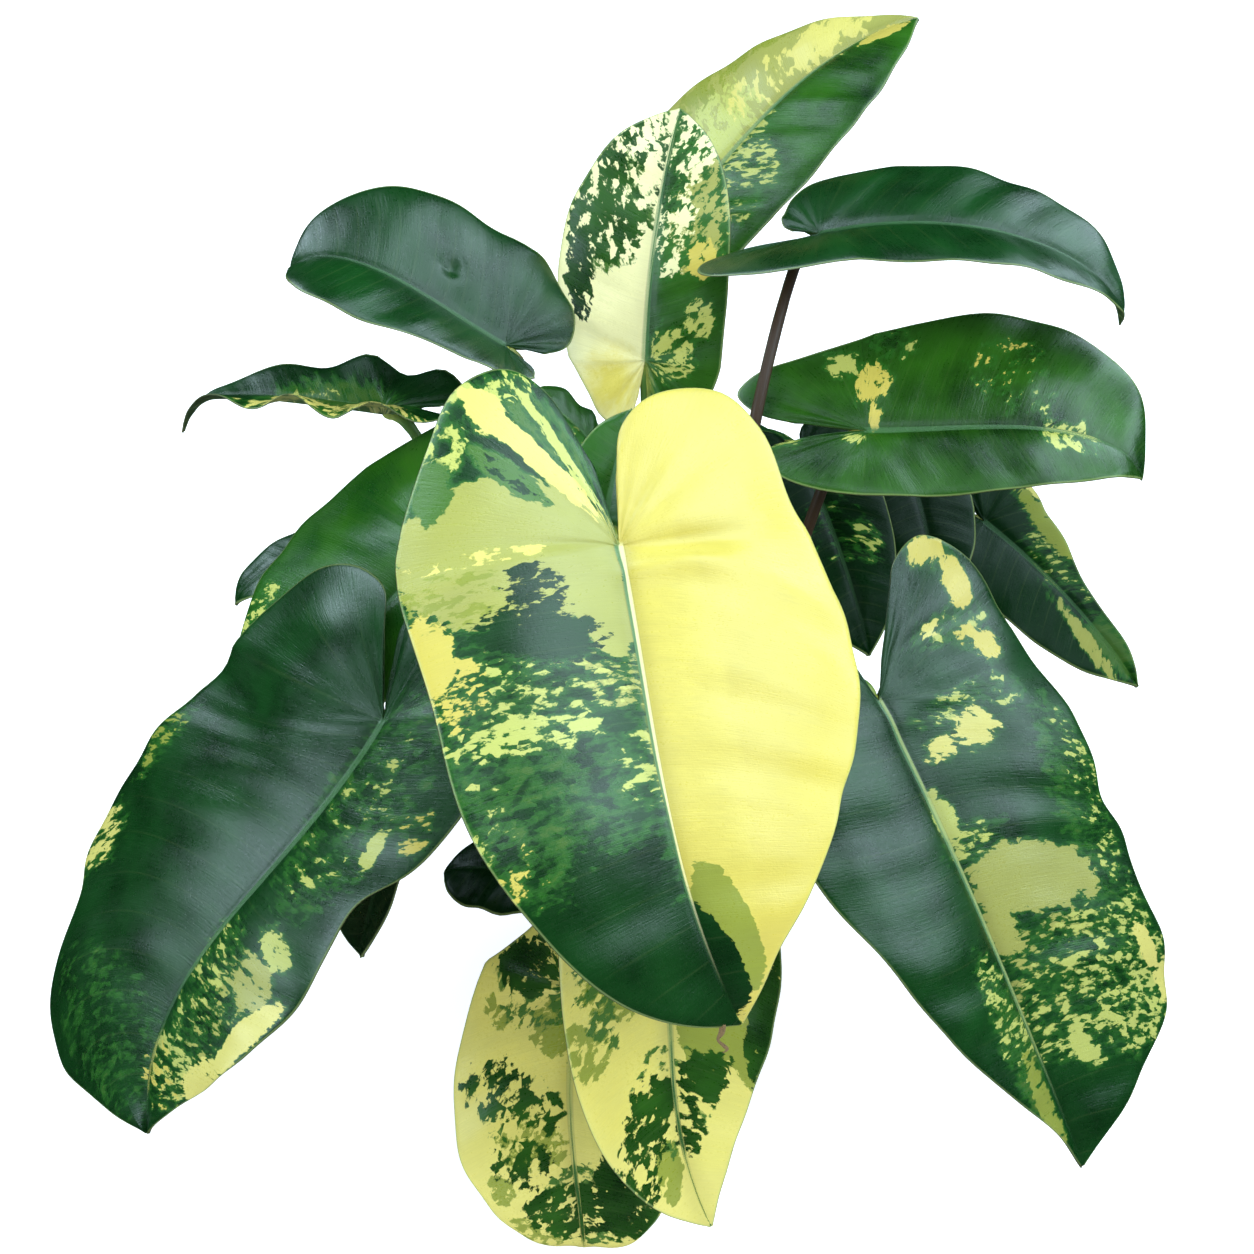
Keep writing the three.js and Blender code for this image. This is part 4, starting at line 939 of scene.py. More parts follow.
def blade_marks(look, along, across):
    """The strength of each tone at points of the flat blade: above 0 it is painted."""
    levels = {name: np.full(along.shape, -3.0) for name in (*PAINTS, "grass", "dark")}
    for side, name in look.get("halves", {}).items():
        reach = across * (1 if side == "right" else -1)
        levels[name] = np.maximum(levels[name], np.clip(reach / 0.7, -3, 3))
    for name, a, c, reach_along, reach_across, turn, ragged, fill in look["marks"]:
        t = math.radians(turn)
        u = (along - a) * math.cos(t) + (across - c) * math.sin(t)
        v = (across - c) * math.cos(t) - (along - a) * math.sin(t)
        inside = (1 - np.hypot(u / reach_along, v / reach_across)) * math.sqrt(reach_along * reach_across)
        levels[name] = np.maximum(levels[name], np.clip(np.minimum(inside / ragged, fill), -3, 3))
    return levels


def sheet_faces(rows, columns, lobe_rows):
    """Faces of a blade's top, underside and rim. The rows of the lobe share one point at the joint."""
    total = 2 * columns + 1
    grid = np.arange(rows * total).reshape(rows, total)
    grid[:lobe_rows, columns] = grid[0, columns]
    above, below = grid, grid + rows * total
    rim = 2 * rows * total + np.arange(rows * 2).reshape(rows, 2)
    strips = [
        (above[:-1, :-1], above[1:, :-1], above[1:, 1:], above[:-1, 1:]),
        (below[:-1, :-1], below[:-1, 1:], below[1:, 1:], below[1:, :-1]),
        (below[:-1, :1], below[1:, :1], rim[1:, :1], rim[:-1, :1]),
        (rim[:-1, :1], rim[1:, :1], above[1:, :1], above[:-1, :1]),
        (above[:-1, -1:], above[1:, -1:], rim[1:, 1:], rim[:-1, 1:]),
        (rim[:-1, 1:], rim[1:, 1:], below[1:, -1:], below[:-1, -1:]),
        (above[:1, :-1], above[:1, 1:], below[:1, 1:], below[:1, :-1]),
        (below[-1:, :-1], below[-1:, 1:], above[-1:, 1:], above[-1:, :-1]),
    ]
    faces = np.concatenate([np.stack([part.ravel() for part in strip], 1) for strip in strips]).tolist()
    faces += [
        [rim[0, 0], above[0, 0], below[0, 0]], [above[0, -1], rim[0, 1], below[0, -1]],
        [below[-1, 0], above[-1, 0], rim[-1, 0]], [below[-1, -1], rim[-1, 1], above[-1, -1]],
    ]
    kept = [[int(v) for k, v in enumerate(face) if v != face[k - 1]] for face in faces]
    return [face for face in kept if len(face) > 2]


def half_grid(form, side, lead, counts):
    """One half's points: along, across, share of the way out, distance from the rib and from the margin.

    The last column is the rim's. Each row's vein count comes last.
    """
    lobe_rows, blade_rows, columns = counts
    outer = 1 + np.arange(1, columns - 5) / (columns - 6)
    spread = np.concatenate([RIB_COLUMNS, outer])
    root, end_along, end_across, count = half_rows(form, side, lead, lobe_rows, blade_rows)
    reach = np.maximum(np.hypot(end_across, end_along - root), 0.5)
    rib_share = np.minimum(0.25, BLADE["rib_half"] * 1.6 / reach)
    rim = np.minimum(0.35 / reach, 0.05)
    s = np.where(
        spread[None, :] <= 1,
        rib_share[:, None] * spread[None, :],
        rib_share[:, None] + (1 - rim - rib_share)[:, None] * (spread[None, :] - 1),
    )
    s = np.concatenate([s, np.ones((len(root), 1))], axis=1)
    clear = np.clip(root / 30, 0, 1)[:, None]
    along = root[:, None] + (end_along - root)[:, None] * s ** (1 + 0.28 * clear)
    across = end_across[:, None] * s ** (1 / (1 + 0.1 * clear))
    return along, across, s, reach[:, None] * s, reach[:, None] * (1 - s), count


def blade_relief(form, seed, vein_depth, spacing, along, across, share, run, count):
    """The height of a blade's surface detail and of its sunken rib, in millimetres."""
    tail = np.clip(1 - along / form.length, 0, 1)
    vein = np.abs((count / spacing + 0.5) % 1 - 0.5) * spacing
    swell = 4 * share * (1 - share)
    rib_width = 1.1 + 1.7 * tail
    groove = -RELIEF["groove"] * (0.3 + 0.7 * tail) * np.exp(-(np.abs(across) / rib_width) ** 2)
    ridge = RELIEF["ridge"] * (0.2 + 0.8 * tail) * np.exp(-(np.abs(across) / (0.36 * rib_width)) ** 2)
    veins = -vein_depth * np.exp(-(vein / 0.9) ** 2) * np.clip(swell * 1.3, 0, 1)
    quilt = np.sin(np.pi * np.minimum(vein / spacing * 2, 1) / 2) ** 2
    quilt = vein_depth * RELIEF["quilt"] * quilt * swell
    fan = np.where(count < 0, 1.0, np.exp(-count / 14))
    pleats = RELIEF["pleat"] * fan * np.sin(count * 0.31 + seed + np.sin(count * 0.13))
    pleats = pleats * np.exp(-((run - 24) / 18) ** 2)
    bands = np.sin(count / 6.1 + seed + along / 40) + np.sin(count / 3.7 + 2 * seed + np.sin(run / 19))
    bands = RELIEF["band"] * bands * np.clip(share * 3, 0, 1) * np.clip((1 - share) * 4, 0.2, 1)
    lay = RELIEF["lay"] * smooth_noise(along / 21, across / 21, seed) * np.clip(share * 2, 0, 1)
    curl = RELIEF["curl"] * (np.sin(count / 5.2 + seed) * share ** 6 - share ** 12)
    relief = groove + ridge + veins + quilt + pleats + bands + lay + curl
    return relief, groove


def build_blade(leaf, seed, settings):
    """One leaf blade: a thin closed sheet with a sunken rib, side veins and a rounded edge."""
    form = BladeForm(leaf)
    look = LOOKS[leaf["name"]]
    size = form.length * sum(leaf["half"])
    detail = settings.detail * min(1.0, max(LEAST_DETAIL, math.sqrt(size / LARGE_BLADE)))
    lobe_rows, blade_rows, columns = (int(n * detail) for n in BLADE_GRID)
    rows = lobe_rows + blade_rows
    leads = look.get("lead", (VEIN_LEAD, VEIN_LEAD))
    counts = lobe_rows, blade_rows, columns
    left, right = (half_grid(form, side, leads[side > 0], counts) for side in (-1, 1))
    columns = left[0].shape[1] - 2

    def woven(index, signed=False):
        """Left and right grids side by side, with the rib in the middle and the rim points last."""
        a, b = left[index], right[index]
        if signed:
            a = -a
        grid = np.concatenate([a[:, columns:0:-1], b[:, :columns + 1]], axis=1)
        return grid, np.stack([a[:, -1], b[:, -1]], axis=1)

    along, along_rim = woven(0)
    across, across_rim = woven(1, signed=True)
    share, share_rim = woven(2)
    run, run_rim = woven(3)
    margin, margin_rim = woven(4)
    side = np.concatenate([np.full(columns, -1.0), np.ones(columns + 1)])[None, :].repeat(rows, 0)
    side_rim = np.array([[-1.0, 1.0]]).repeat(rows, 0)
    count = np.where(side < 0, left[5][:, None], right[5][:, None])
    count_rim = np.stack([left[5], right[5]], axis=1)

    def in_space(find, a, c, half):
        return find(a.ravel(), (c * half).ravel(), half.ravel()).reshape(*a.shape, 3)

    middle, normal = in_space(form.at, along, across, side), in_space(form.normal_at, along, across, side)
    rim_middle = in_space(form.at, along_rim, across_rim, side_rim)
    spacing = max(VEINS["least"], form.length / VEINS["count"])
    relief, groove = blade_relief(
        form, seed, settings.vein_depth / MM, spacing, along, across, share, run, count
    )
    relief = relief * settings.relief
    for a, c, reach_along, reach_across, height in look.get("dents", ()):
        away = ((along - a) / reach_along) ** 2 + ((across - c) / reach_across) ** 2
        relief = relief + height * np.exp(-away)
    under_rib = BLADE["rib_depth"] * (1 - 0.9 * np.clip(along / form.length, 0, 1))
    under_rib = under_rib * np.clip(1 - (across / (BLADE["rib_half"] * 1.15)) ** 2, 0, 1) ** 0.8
    half_thick = BLADE["thickness"] / 2 * (0.55 + 0.45 * np.clip(margin / 2.5, 0, 1))
    soft = relief - np.minimum(0, groove) * settings.relief * 0.8
    top = middle + normal * (half_thick + relief)[..., None]
    under = middle + normal * (soft - half_thick - under_rib)[..., None]
    edge = rim_middle + normal[:, [0, -1]] * relief[:, [0, -1], None]
    points = np.concatenate([top.reshape(-1, 3), under.reshape(-1, 3), edge.reshape(-1, 3)])

    def over_all(inner, outer):
        """A value for every point: the top's, the underside's and the rim's."""
        return np.concatenate([inner.ravel(), inner.ravel(), outer.ravel()])

    a, c = over_all(along, along_rim), over_all(across, across_rim)
    levels = blade_marks(look, a, c)
    underside = np.repeat([0, 1, 0.4], [along.size, along.size, along_rim.size])
    vein_count = over_all(count, count_rim) + HALF_SHIFT * np.sign(c)
    attributes = {
        "flat": (a, c, np.full_like(a, seed * 3.7)),
        "vein": (vein_count, over_all(run, run_rim), over_all(share, share_rim)),
        "tones": [levels[name] for name in PAINTS[:3]],
        "lights": [levels[name] for name in PAINTS[3:6]],
        "marks": (levels["grass"], levels["dark"], over_all(margin, margin_rim)),
        "late": [underside] + [levels[name] for name in PAINTS[6:]],
    }
    attributes = {key: np.stack(values, 1) for key, values in attributes.items()}
    name = "leaf_" + leaf["name"]
    material = leaf_material(name, look, form.length, spacing, settings)
    faces = sheet_faces(rows, columns, lobe_rows)
    flat = np.stack([c, a], 1) / UV_WIDTH + 0.5
    piece = made_object(name, points, faces, material, attributes, flat)
    return placed(piece, "leaf", "blade_" + leaf["name"])


def leaf_material(name, look, length, spacing, settings):
    """A leaf's skin: greens, broken patches along the veins, a pale rib, fine streaks and sheen."""
    material, graph = material_with(name)
    along, across, seed = graph.parts(graph.attribute("flat"))
    row, run, share = graph.parts(graph.attribute("vein"))
    under, *late = graph.parts(graph.attribute("late"))
    levels = graph.parts(graph.attribute("tones")) + graph.parts(graph.attribute("lights")) + late
    grass, dark, margin = graph.parts(graph.attribute("marks"))
    # dim darkens or brightens every tone of this leaf to how it is lit: painted shade and light over its
    # own tones.
    dim = look.get("dimmed", 1.0)
    wide, long = look.get("weave", (4.0, 9.0))

    def grain(one, other, wide, long, roughness, offset=None, detail=2.0):
        """Noise over two measures of the blade, wide and long millimetres from crest to crest."""
        depth = seed + offset if offset else seed
        return graph.noise(graph.vector(one / wide, other / long, depth), 1.0, detail, roughness)

    stray = grain(row, run, wide, long, 0.62, detail=4.0)
    block = graph.cells(graph.vector(row * 2 / wide + stray * 1.5, run * 2 / long + seed, seed), 1.0)
    ragged = (stray - 0.5) * 3.6 + (block - 0.5) * 0.75
    streak = grain(row, run, 0.55, 11.0, 0.6)
    broad = grain(along, across, 24.0, 24.0, 0.5)
    fleck = grain(along, across, 1.3, 1.3, 0.6, 5.0)
    dust = grain(along, across, 0.7, 0.7, 0.7)
    scratch = grain(row, run, 0.3, 7.0, 0.7, 9.0)

    def hue(name, dim=1.0):
        """A tone, from the settings where they hold it."""
        red, green, blue, _ = getattr(settings, name, None) or tone(name)
        return red * dim, green * dim, blue * dim, 1.0

    def mask(level, crispness=6.0, breakup=1.0):
        """Where a tone shows. A crisp mark has a sharp edge, and breakup is how far noise moves it."""
        return ((level + ragged * breakup - 0.17) * crispness).held()

    shade, tint = hue(look.get("shade", "deep")), hue(look.get("tint", "green"))
    colour = graph.blend((broad * 1.7 - 0.35 + (streak - 0.5) * 0.5).held(), shade, tint)
    colour = graph.blend((fleck - 0.62).most(0.0) * 0.9, colour, hue("grass"))
    ground = colour
    nearest = grass
    for level in levels:
        nearest = nearest.most(level)
    colour = graph.blend((nearest + ragged).ramp(-0.6, 0.2) * 0.7, colour, hue("halo", dim))
    for level, name in zip([grass] + levels, ("grass",) + PAINTS):
        pure = hue(name, dim)
        worn = graph.scaled(pure, 0.78)
        varied = graph.blend((broad * 0.9 + (streak - 0.5) * 0.7 - 0.1).held(), pure, worn)
        colour = graph.blend(mask(level, *SOFTNESS.get(name, ())), colour, varied)
    colour = graph.blend(mask(dark), colour, ground)

    line = row.fold(spacing).ramp(0.55, 0.1) * share.ramp(1.0, 0.5)
    colour = graph.blend(line * 0.025, colour, hue("rib"))
    width = 0.5 + 1.0 * (1.0 - along / length).held()
    off_rib = across.size()
    band = (off_rib / width).ramp(1.25, 0.75) * along.ramp(-2.0, 1.0)
    band = band * (along / length).ramp(0.92, 0.5) * look["ribbed"]
    # Painted shade: the blade is darkened towards 0.6 of its colour within about 9 mm of the rib, in the
    # valley beside it.
    rib_valley_shade = off_rib.ramp(9.0, 1.0) * off_rib.ramp(0.0, 1.0) * along.ramp(-4.0, 2.0)
    colour = graph.blend(rib_valley_shade * 0.3, colour, graph.scaled(colour, 0.6))
    left_rib, right_rib = (hue(name, dim) for name in look.get("rib", ("vein", "vein")))
    # Painted shade: a thin darker line along the edge of the pale rib band, in the crease beside the rib.
    crease_shade = (off_rib / width - 1.15).size().ramp(0.3, 0.0) * along.ramp(-2.0, 1.0)
    pale = graph.blend((across / 0.5 + 0.5).held(), left_rib, right_rib)
    colour = graph.blend(band * (0.75 + 0.25 * streak), colour, pale)
    colour = graph.blend(crease_shade * 0.35, colour, graph.scaled(colour, 0.45))
    colour = graph.blend(margin.ramp(1.3, 0.6) * 0.35, colour, hue("rib", dim))
    colour = graph.blend(margin.ramp(0.45, 0.15) * 0.7, colour, hue("bark"))
    # The underside: a pale green of its own mixed by noise with a dark green of painted shade, with paler
    # vein lines, then mixed half and half with the top's colour darkened to 0.7, more painted shade.
    shadowed = graph.blend(broad, hue("dark_under"), hue("pale_under"))
    shadowed = graph.blend(line * 0.5, shadowed, hue("rib"))
    colour = graph.blend(under, colour, graph.blend(0.5, shadowed, graph.scaled(colour, 0.7)))

    height = streak * 0.35 + scratch * 0.2 + fleck * 0.2 + dust * 0.15 + stray * 0.1
    surface(
        graph,
        base_color=colour,
        roughness=0.13 + 0.12 * streak + 0.14 * fleck + 0.08 * broad + 0.16 * under,
        specular_ior_level=look.get("gloss", LEAF_GLOSS),
        normal=graph.bump(height, LEAF_BUMP, 0.8),
    )
    return material


# Stalks.


def rib_back(form):
    """How far the rib's blunt back reaches behind the joint."""
    leans = []
    for side in (-1, 1):
        along, across = (values[0] for values in form.edge(np.zeros(1), side))
        leans.append(-along / math.hypot(along, across) if across > 0 else 1)
    return BLADE["rib_half"] * (1 - SEAT_GAP / BLADE["rib_depth"]) * max(leans)


def stalk_route(leaf):
    """The stalk's knots, from its seat in the stem to the underside of the blade at the joint."""
    form = BladeForm(leaf)
    place, tangent, _, normal = (values[0] for values in form.frame(np.zeros(1)))
    stem = STEMS[leaf["stem"]]
    foot = np.array([*stem["foot"], SOIL_TOP], float)
    head = np.array(stem["top"], float)
    axis = foot + (head - foot) * (leaf["seat"] - foot[2]) / (head[2] - foot[2])
    via = np.array(leaf["via"], float)
    outward = unit((via - axis) * (1, 1, 0))
    start = axis + outward * (STEM["radius"] - STALK["sink"])
    drop = BLADE["thickness"] / 2 + SEAT_GAP + STALK["top"]
    end = place - normal * drop - tangent * (rib_back(form) + GAP)
    straight = end - tangent * STALK["run_in"]
    arrival = unit(straight - via)
    knuckle = straight - unit(arrival + tangent) * STALK["knuckle"]
    out, up = STALK["sprout"]
    sprout = start + outward * out + np.array([0, 0, up])
    return [start, sprout, via, knuckle, straight, end], tangent, normal


def stalk_tubes():
    """A node group that turns a line with a width at each point into a closed round tube."""
    group, graph, given = node_group(
        "stalk_tube", {"Line": "Geometry", "Sides": "Int", "Material": "Material"}, "Tube"
    )
    line = graph.first("GeometryNodeMeshToCurve", None, {"Mesh": given["Line"]})
    width = graph.first("GeometryNodeInputNamedAttribute", {"data_type": "FLOAT"}, {"Name": "width"})
    ring = graph.first(
        "GeometryNodeCurvePrimitiveCircle", None, {"Resolution": given["Sides"], "Radius": 1.0}
    )
    sized = graph.first("GeometryNodeSetCurveRadius", None, {"Curve": line, "Radius": width})
    tube = graph.node("GeometryNodeCurveToMesh", None, {"Curve": sized, "Profile Curve": ring})
    graph.feed(tube.inputs["Fill Caps"], True)
    if "Scale" in tube.inputs:
        graph.feed(tube.inputs["Scale"], width)
    smooth = graph.first("GeometryNodeSetShadeSmooth", None, {"Geometry": tube.outputs[0]})
    end_group(graph, "Tube", smooth, given["Material"])
    return group


def with_nodes(piece, group, **given):
    """Runs a node group on a piece, with its inputs set by name, and keeps the result as its mesh."""
    modifier = piece.modifiers.new(group.name, "NODES")
    modifier.node_group = group
    sockets = {item.name: item.identifier for item in group.interface.items_tree if item.in_out == "INPUT"}
    for name, value in given.items():
        modifier[sockets[name.replace("_", " ")]] = value
    return settled(piece)


def build_stalk(leaf, seed, group, skin, settings):
    """One leaf stalk, wide where it sheathes the stem and with a knuckle under the blade."""
    route, tangent, normal = stalk_route(leaf)
    share = np.linspace(0, 1, settings.stalk_rings)
    points = curve_through(route, share)
    steps = np.linalg.norm(np.diff(points, axis=0), axis=1)
    run = np.concatenate([[0], np.cumsum(steps)])
    at = run / run[-1]
    left = run[-1] - run
    width = STALK["base"] + (STALK["top"] - STALK["base"]) * at
    sheath, sheath_length = STALK["sheath"]
    swell, swell_place, swell_length = STALK["swell"]
    width = width + sheath * np.exp(-(run / sheath_length) ** 2)
    width = width + swell * np.exp(-((left - swell_place) / swell_length) ** 2)
    width = width + 0.05 * np.sin(run * 0.9 + seed)
    seat = points[-1] + tangent * 2.6 + normal * 0.9
    points = np.vstack([points, (points[-1] + seat) / 2, seat])
    width = np.append(width, [STALK["top"] * 0.98, STALK["top"] * 0.72])
    run = np.append(run, [run[-1] + 1.4, run[-1] + 2.8])
    name = "petiole_" + leaf["name"]
    mesh = bpy.data.meshes.new(name)
    mesh.from_pydata((points * MM).tolist(), [(k, k + 1) for k in range(len(points) - 1)], [])
    point_values(mesh, "width", width * MM)
    point_values(mesh, "flow", np.stack([run, run / run[-1], np.full_like(run, seed)], 1))
    piece = bpy.data.objects.new(name, mesh)
    bpy.context.scene.collection.objects.link(piece)
    with_nodes(piece, group, Sides=STALK_SIDES, Material=skin)
    return placed(piece, "stalk", "stalk_" + leaf["name"])


def stalk_material(name, upper):
    """A stalk's skin: fine length-wise lines, darker flecks and an upper part in a tone of its own."""
    material, graph = material_with(name)
    share = graph.parts(graph.attribute("flow"))[1]
    x, y, z = graph.parts(graph.place())
    lines = graph.noise(graph.vector(x * 900.0, y * 900.0, z * 60.0), 1.0, 2.0, 0.6)
    flecks = graph.noise(graph.vector(x * 260.0, y * 260.0, z * 130.0), 1.0, 3.0, 0.6)
    colour = graph.blend((share * 1.2 - 0.2 + (lines - 0.5) * 0.6).held(), tone("bark"), tone(upper))
    colour = graph.blend(flecks.ramp(0.56, 0.7) * 0.6, colour, tone("wine"))
    colour = graph.blend(share.ramp(0.94, 0.99) * 0.7, colour, tone("olive"))
    surface(
        graph,
        base_color=colour,
        roughness=0.36 + 0.2 * lines,
        coat_weight=0.1,
        normal=graph.bump(lines * 0.7 + flecks * 0.3, 0.12, 0.6),
    )
    return material


# Stems, soil and pot.


def ring_faces(count, sides):
    """Faces of a closed round body. The first and last ring's centres are the points after the rings."""
    grid = np.arange(count * sides).reshape(count, sides)
    turned = np.roll(grid, -1, axis=1)
    faces = np.stack([grid[:-1], turned[:-1], turned[1:], grid[1:]], -1).reshape(-1, 4).tolist()
    first, last = count * sides, count * sides + 1
    faces += [[first, int(b), int(a)] for a, b in zip(grid[0], turned[0])]
    faces += [[last, int(a), int(b)] for a, b in zip(grid[-1], turned[-1])]
    return faces


def ring_body(centres, ones, others, radii):
    """Points and faces of a closed round body from rings of radii about centres."""
    count, sides = radii.shape
    angle = np.arange(sides) / sides * 2 * np.pi
    points = (
        centres[:, None] + ones[:, None] * (np.cos(angle) * radii)[..., None]
        + others[:, None] * (np.sin(angle) * radii)[..., None]
    )
    return np.vstack([points.reshape(-1, 3), centres[:1], centres[-1:]]), ring_faces(count, sides)


def upright_body(centre, profile, sides):
    """Points and faces of a body turned about an upright line, from pairs of radius and height."""
    radii, heights = np.array(profile, float).T
    centres = np.array(centre) + np.outer(heights, (0, 0, 1))
    ones, others = (np.tile(way, (len(heights), 1)) for way in ((1.0, 0, 0), (0, 1.0, 0)))
    return ring_body(centres, ones, others, radii[:, None].repeat(sides, 1))


def build_stem(name, material):
    """One stem: a knobbly post with a ring where each old leaf stood and a rounded top."""
    stem = STEMS[name]
    head = np.array(stem["top"], float)
    foot = np.array([*stem["foot"], SOIL_TOP], float)
    down = unit(foot - head)
    base = foot + down * STEM["depth"]
    length = np.linalg.norm(head - base)
    rings, sides = STEM_GRID
    at = 1 - (1 - np.linspace(0, 1, rings)) ** 1.3
    near_top = np.maximum(0, 1 - length * (1 - at) / STEM["radius"])
    radius = STEM["radius"] * np.sqrt(1 - 0.8 * near_top ** 2)
    one = unit(np.cross(down, (0, 1, 0)))
    other = np.cross(-down, one)
    angle = np.arange(sides) / sides * 2 * np.pi
    z = at * length
    seed = sum(stem["foot"])
    ring = (z[:, None] + 1.2 * np.sin(angle + seed)) % SCAR_PITCH - SCAR_PITCH / 2
    ringed = 0.55 * np.exp(-(np.abs(ring) / 0.7) ** 2)
    uneven = 0.35 * smooth_noise(np.cos(angle)[None] * 2 + z[:, None] / 5, np.sin(angle)[None] * 2, seed)
    radii = radius[:, None] + (ringed + uneven - 0.5) * (1 - near_top[:, None] ** 4)
    ones, others = np.tile(one, (rings, 1)), np.tile(other, (rings, 1))
    points, faces = ring_body(base + np.outer(z, -down), ones, others, radii)
    piece = made_object("stem_post_" + name, points, faces, material)
    return placed(piece, "stem", "stem_" + name)


def stem_material():
    """A stem's bark: patches of brown and dull green with a paler grain and dark cracks."""
    material, graph = material_with("stem_bark")
    x, y, z = graph.parts(graph.place())
    grain = graph.noise(graph.vector(x * 420.0, y * 420.0, z * 160.0), 1.0, 4.0, 0.6)
    patches = graph.noise(graph.vector(x * 90.0, y * 90.0, z * 90.0), 1.0, 2.0, 0.5)
    colour = graph.blend(patches.ramp(0.35, 0.65), tone("bark"), tone("grass", 0.5))
    colour = graph.blend(grain.ramp(0.5, 0.75) * 0.7, colour, tone("olive", 0.45))
    colour = graph.blend(grain.ramp(0.42, 0.3) * 0.7, colour, tone("wine", 0.5))
    surface(graph, base_color=colour, roughness=0.62 + 0.3 * grain, normal=graph.bump(grain, 0.5, 0.8))
    return material


def inside_pot(z):
    """The radius of a body that stands in the pot with a clearance, at a height."""
    return POT["base"] + POT_FLARE * z - POT["wall"] - GAP


def soil_height(x, y):
    """The soil's height at a place, uneven and lightly domed."""
    share = np.clip(np.hypot(x, y) / inside_pot(SOIL_TOP - SOIL["dome"]), 0, 1)
    bump = np.sin(x * 0.31 + 1.3) * np.cos(y * 0.37) + 0.6 * np.sin(x * 0.13 - y * 0.59)
    fine = 0.5 * smooth_noise(x / 3.1, y / 3.1, 2) + 0.35 * smooth_noise(x / 1.3, y / 1.3, 5)
    rise = SOIL["bumps"] * bump * np.clip((1 - share) * 9, 0, 1)
    return SOIL_TOP - SOIL["dome"] * share ** 2 + rise + fine * np.clip((1 - share) * 14, 0, 1)


def build_soil(settings):
    """The soil: a closed body with a crumbly top, then bark chips and white grains over it."""
    bottom = POT["floor"] + GAP
    edge = SOIL_TOP - SOIL["dome"]
    rings, sides = SOIL_GRID
    angle = np.arange(sides) / sides * 2 * np.pi
    levels = [bottom + (edge - bottom) * k / 4 for k in range(5)]
    inward = inside_pot(edge) * (1 - np.arange(1, rings) / rings)
    radii = np.array([inside_pot(level) for level in levels] + list(inward))
    x, y = radii[:, None] * np.cos(angle), radii[:, None] * np.sin(angle)
    z = soil_height(x, y)
    z[:len(levels)] = np.array(levels)[:, None]
    middle = float(soil_height(np.zeros(1), np.zeros(1))[0])
    points = np.vstack([np.stack([x, y, z], -1).reshape(-1, 3), [0, 0, bottom], [0, 0, middle]])
    faces = ring_faces(len(radii), sides)
    free = (points[:, 2] > edge + 0.4) & (np.hypot(points[:, 0], points[:, 1]) < inside_pot(edge) - 3.5)
    for stem in STEMS.values():
        away = np.hypot(points[:, 0] - stem["foot"][0], points[:, 1] - stem["foot"][1])
        free &= away > STEM["radius"] + 2.5
    peat = crumb_material("soil_peat")
    values = {"free": free.astype(float)}
    placed(made_object("soil_body", points, faces, peat, values), "soil", "soil")
    group = scatter_group()
    for name, crumb, share, least, most, flatness, seed in LUMPS:
        layer = made_object(name, points, faces, peat, values)
        with_nodes(
            layer, group, Density=float(settings.chips) * share, Least=least * MM, Most=most * MM,
            Flatness=flatness, Seed=seed, Material=crumb_material(crumb),
        )
        placed(layer, "soil")


def scatter_group():
    """A node group that strews rough lumps over the free part of a surface."""
    group, graph, given = node_group(
        "strewn_lumps",
        {
            "Surface": "Geometry", "Density": "Float", "Least": "Float", "Most": "Float",
            "Flatness": "Float", "Seed": "Int", "Material": "Material",
        },
        "Lumps",
    )
    free = graph.first("GeometryNodeInputNamedAttribute", {"data_type": "FLOAT"}, {"Name": "free"})
    wanted = graph.first("FunctionNodeCompare", {"operation": "GREATER_THAN"}, {0: free, 1: 0.9})
    spots = graph.first(
        "GeometryNodeDistributePointsOnFaces",
        None,
        {"Mesh": given["Surface"], "Selection": wanted, "Density": given["Density"], "Seed": given["Seed"]},
    )
    lump = graph.first("GeometryNodeMeshIcoSphere", None, {"Radius": 1.0, "Subdivisions": 2})
    rough = graph.node("ShaderNodeTexNoise", None, {"Scale": 1.4, "Detail": 1.0}).outputs["Color"]
    push = graph.first("ShaderNodeVectorMath", {"operation": "SUBTRACT"}, {0: rough, 1: (0.5, 0.5, 0.5)})
    push = graph.scaled(push, 1.1)
    lump = graph.first("GeometryNodeSetPosition", None, {"Geometry": lump, "Offset": push})
    flat = graph.vector(0.62, 1.0, given["Flatness"])
    lump = graph.first("GeometryNodeTransform", None, {"Geometry": lump, "Scale": flat})

    def chance(kind, low, high, offset):
        """A random value for each lump between low and high."""
        made = graph.node("FunctionNodeRandomValue", {"data_type": kind})
        wanted_kind = "VECTOR" if kind == "FLOAT_VECTOR" else "VALUE"
        for socket in made.inputs:
            if socket.type == wanted_kind and socket.name == "Min":
                graph.feed(socket, low)
            if socket.type == wanted_kind and socket.name == "Max":
                graph.feed(socket, high)
        graph.feed(made.inputs["Seed"], offset)
        return next(socket for socket in made.outputs if socket.type == wanted_kind)

    turn = chance("FLOAT_VECTOR", (-0.5, -0.5, 0.0), (0.5, 0.5, 6.28), 11)
    size = chance("FLOAT", given["Least"], given["Most"], 12)
    half = graph.first("ShaderNodeMath", {"operation": "MULTIPLY"}, {0: size, 1: 0.5})
    made = graph.first(
        "GeometryNodeInstanceOnPoints",
        None,
        {"Points": spots, "Instance": lump, "Rotation": turn, "Scale": half},
    )
    end_group(graph, "Lumps", made, given["Material"])
    return group


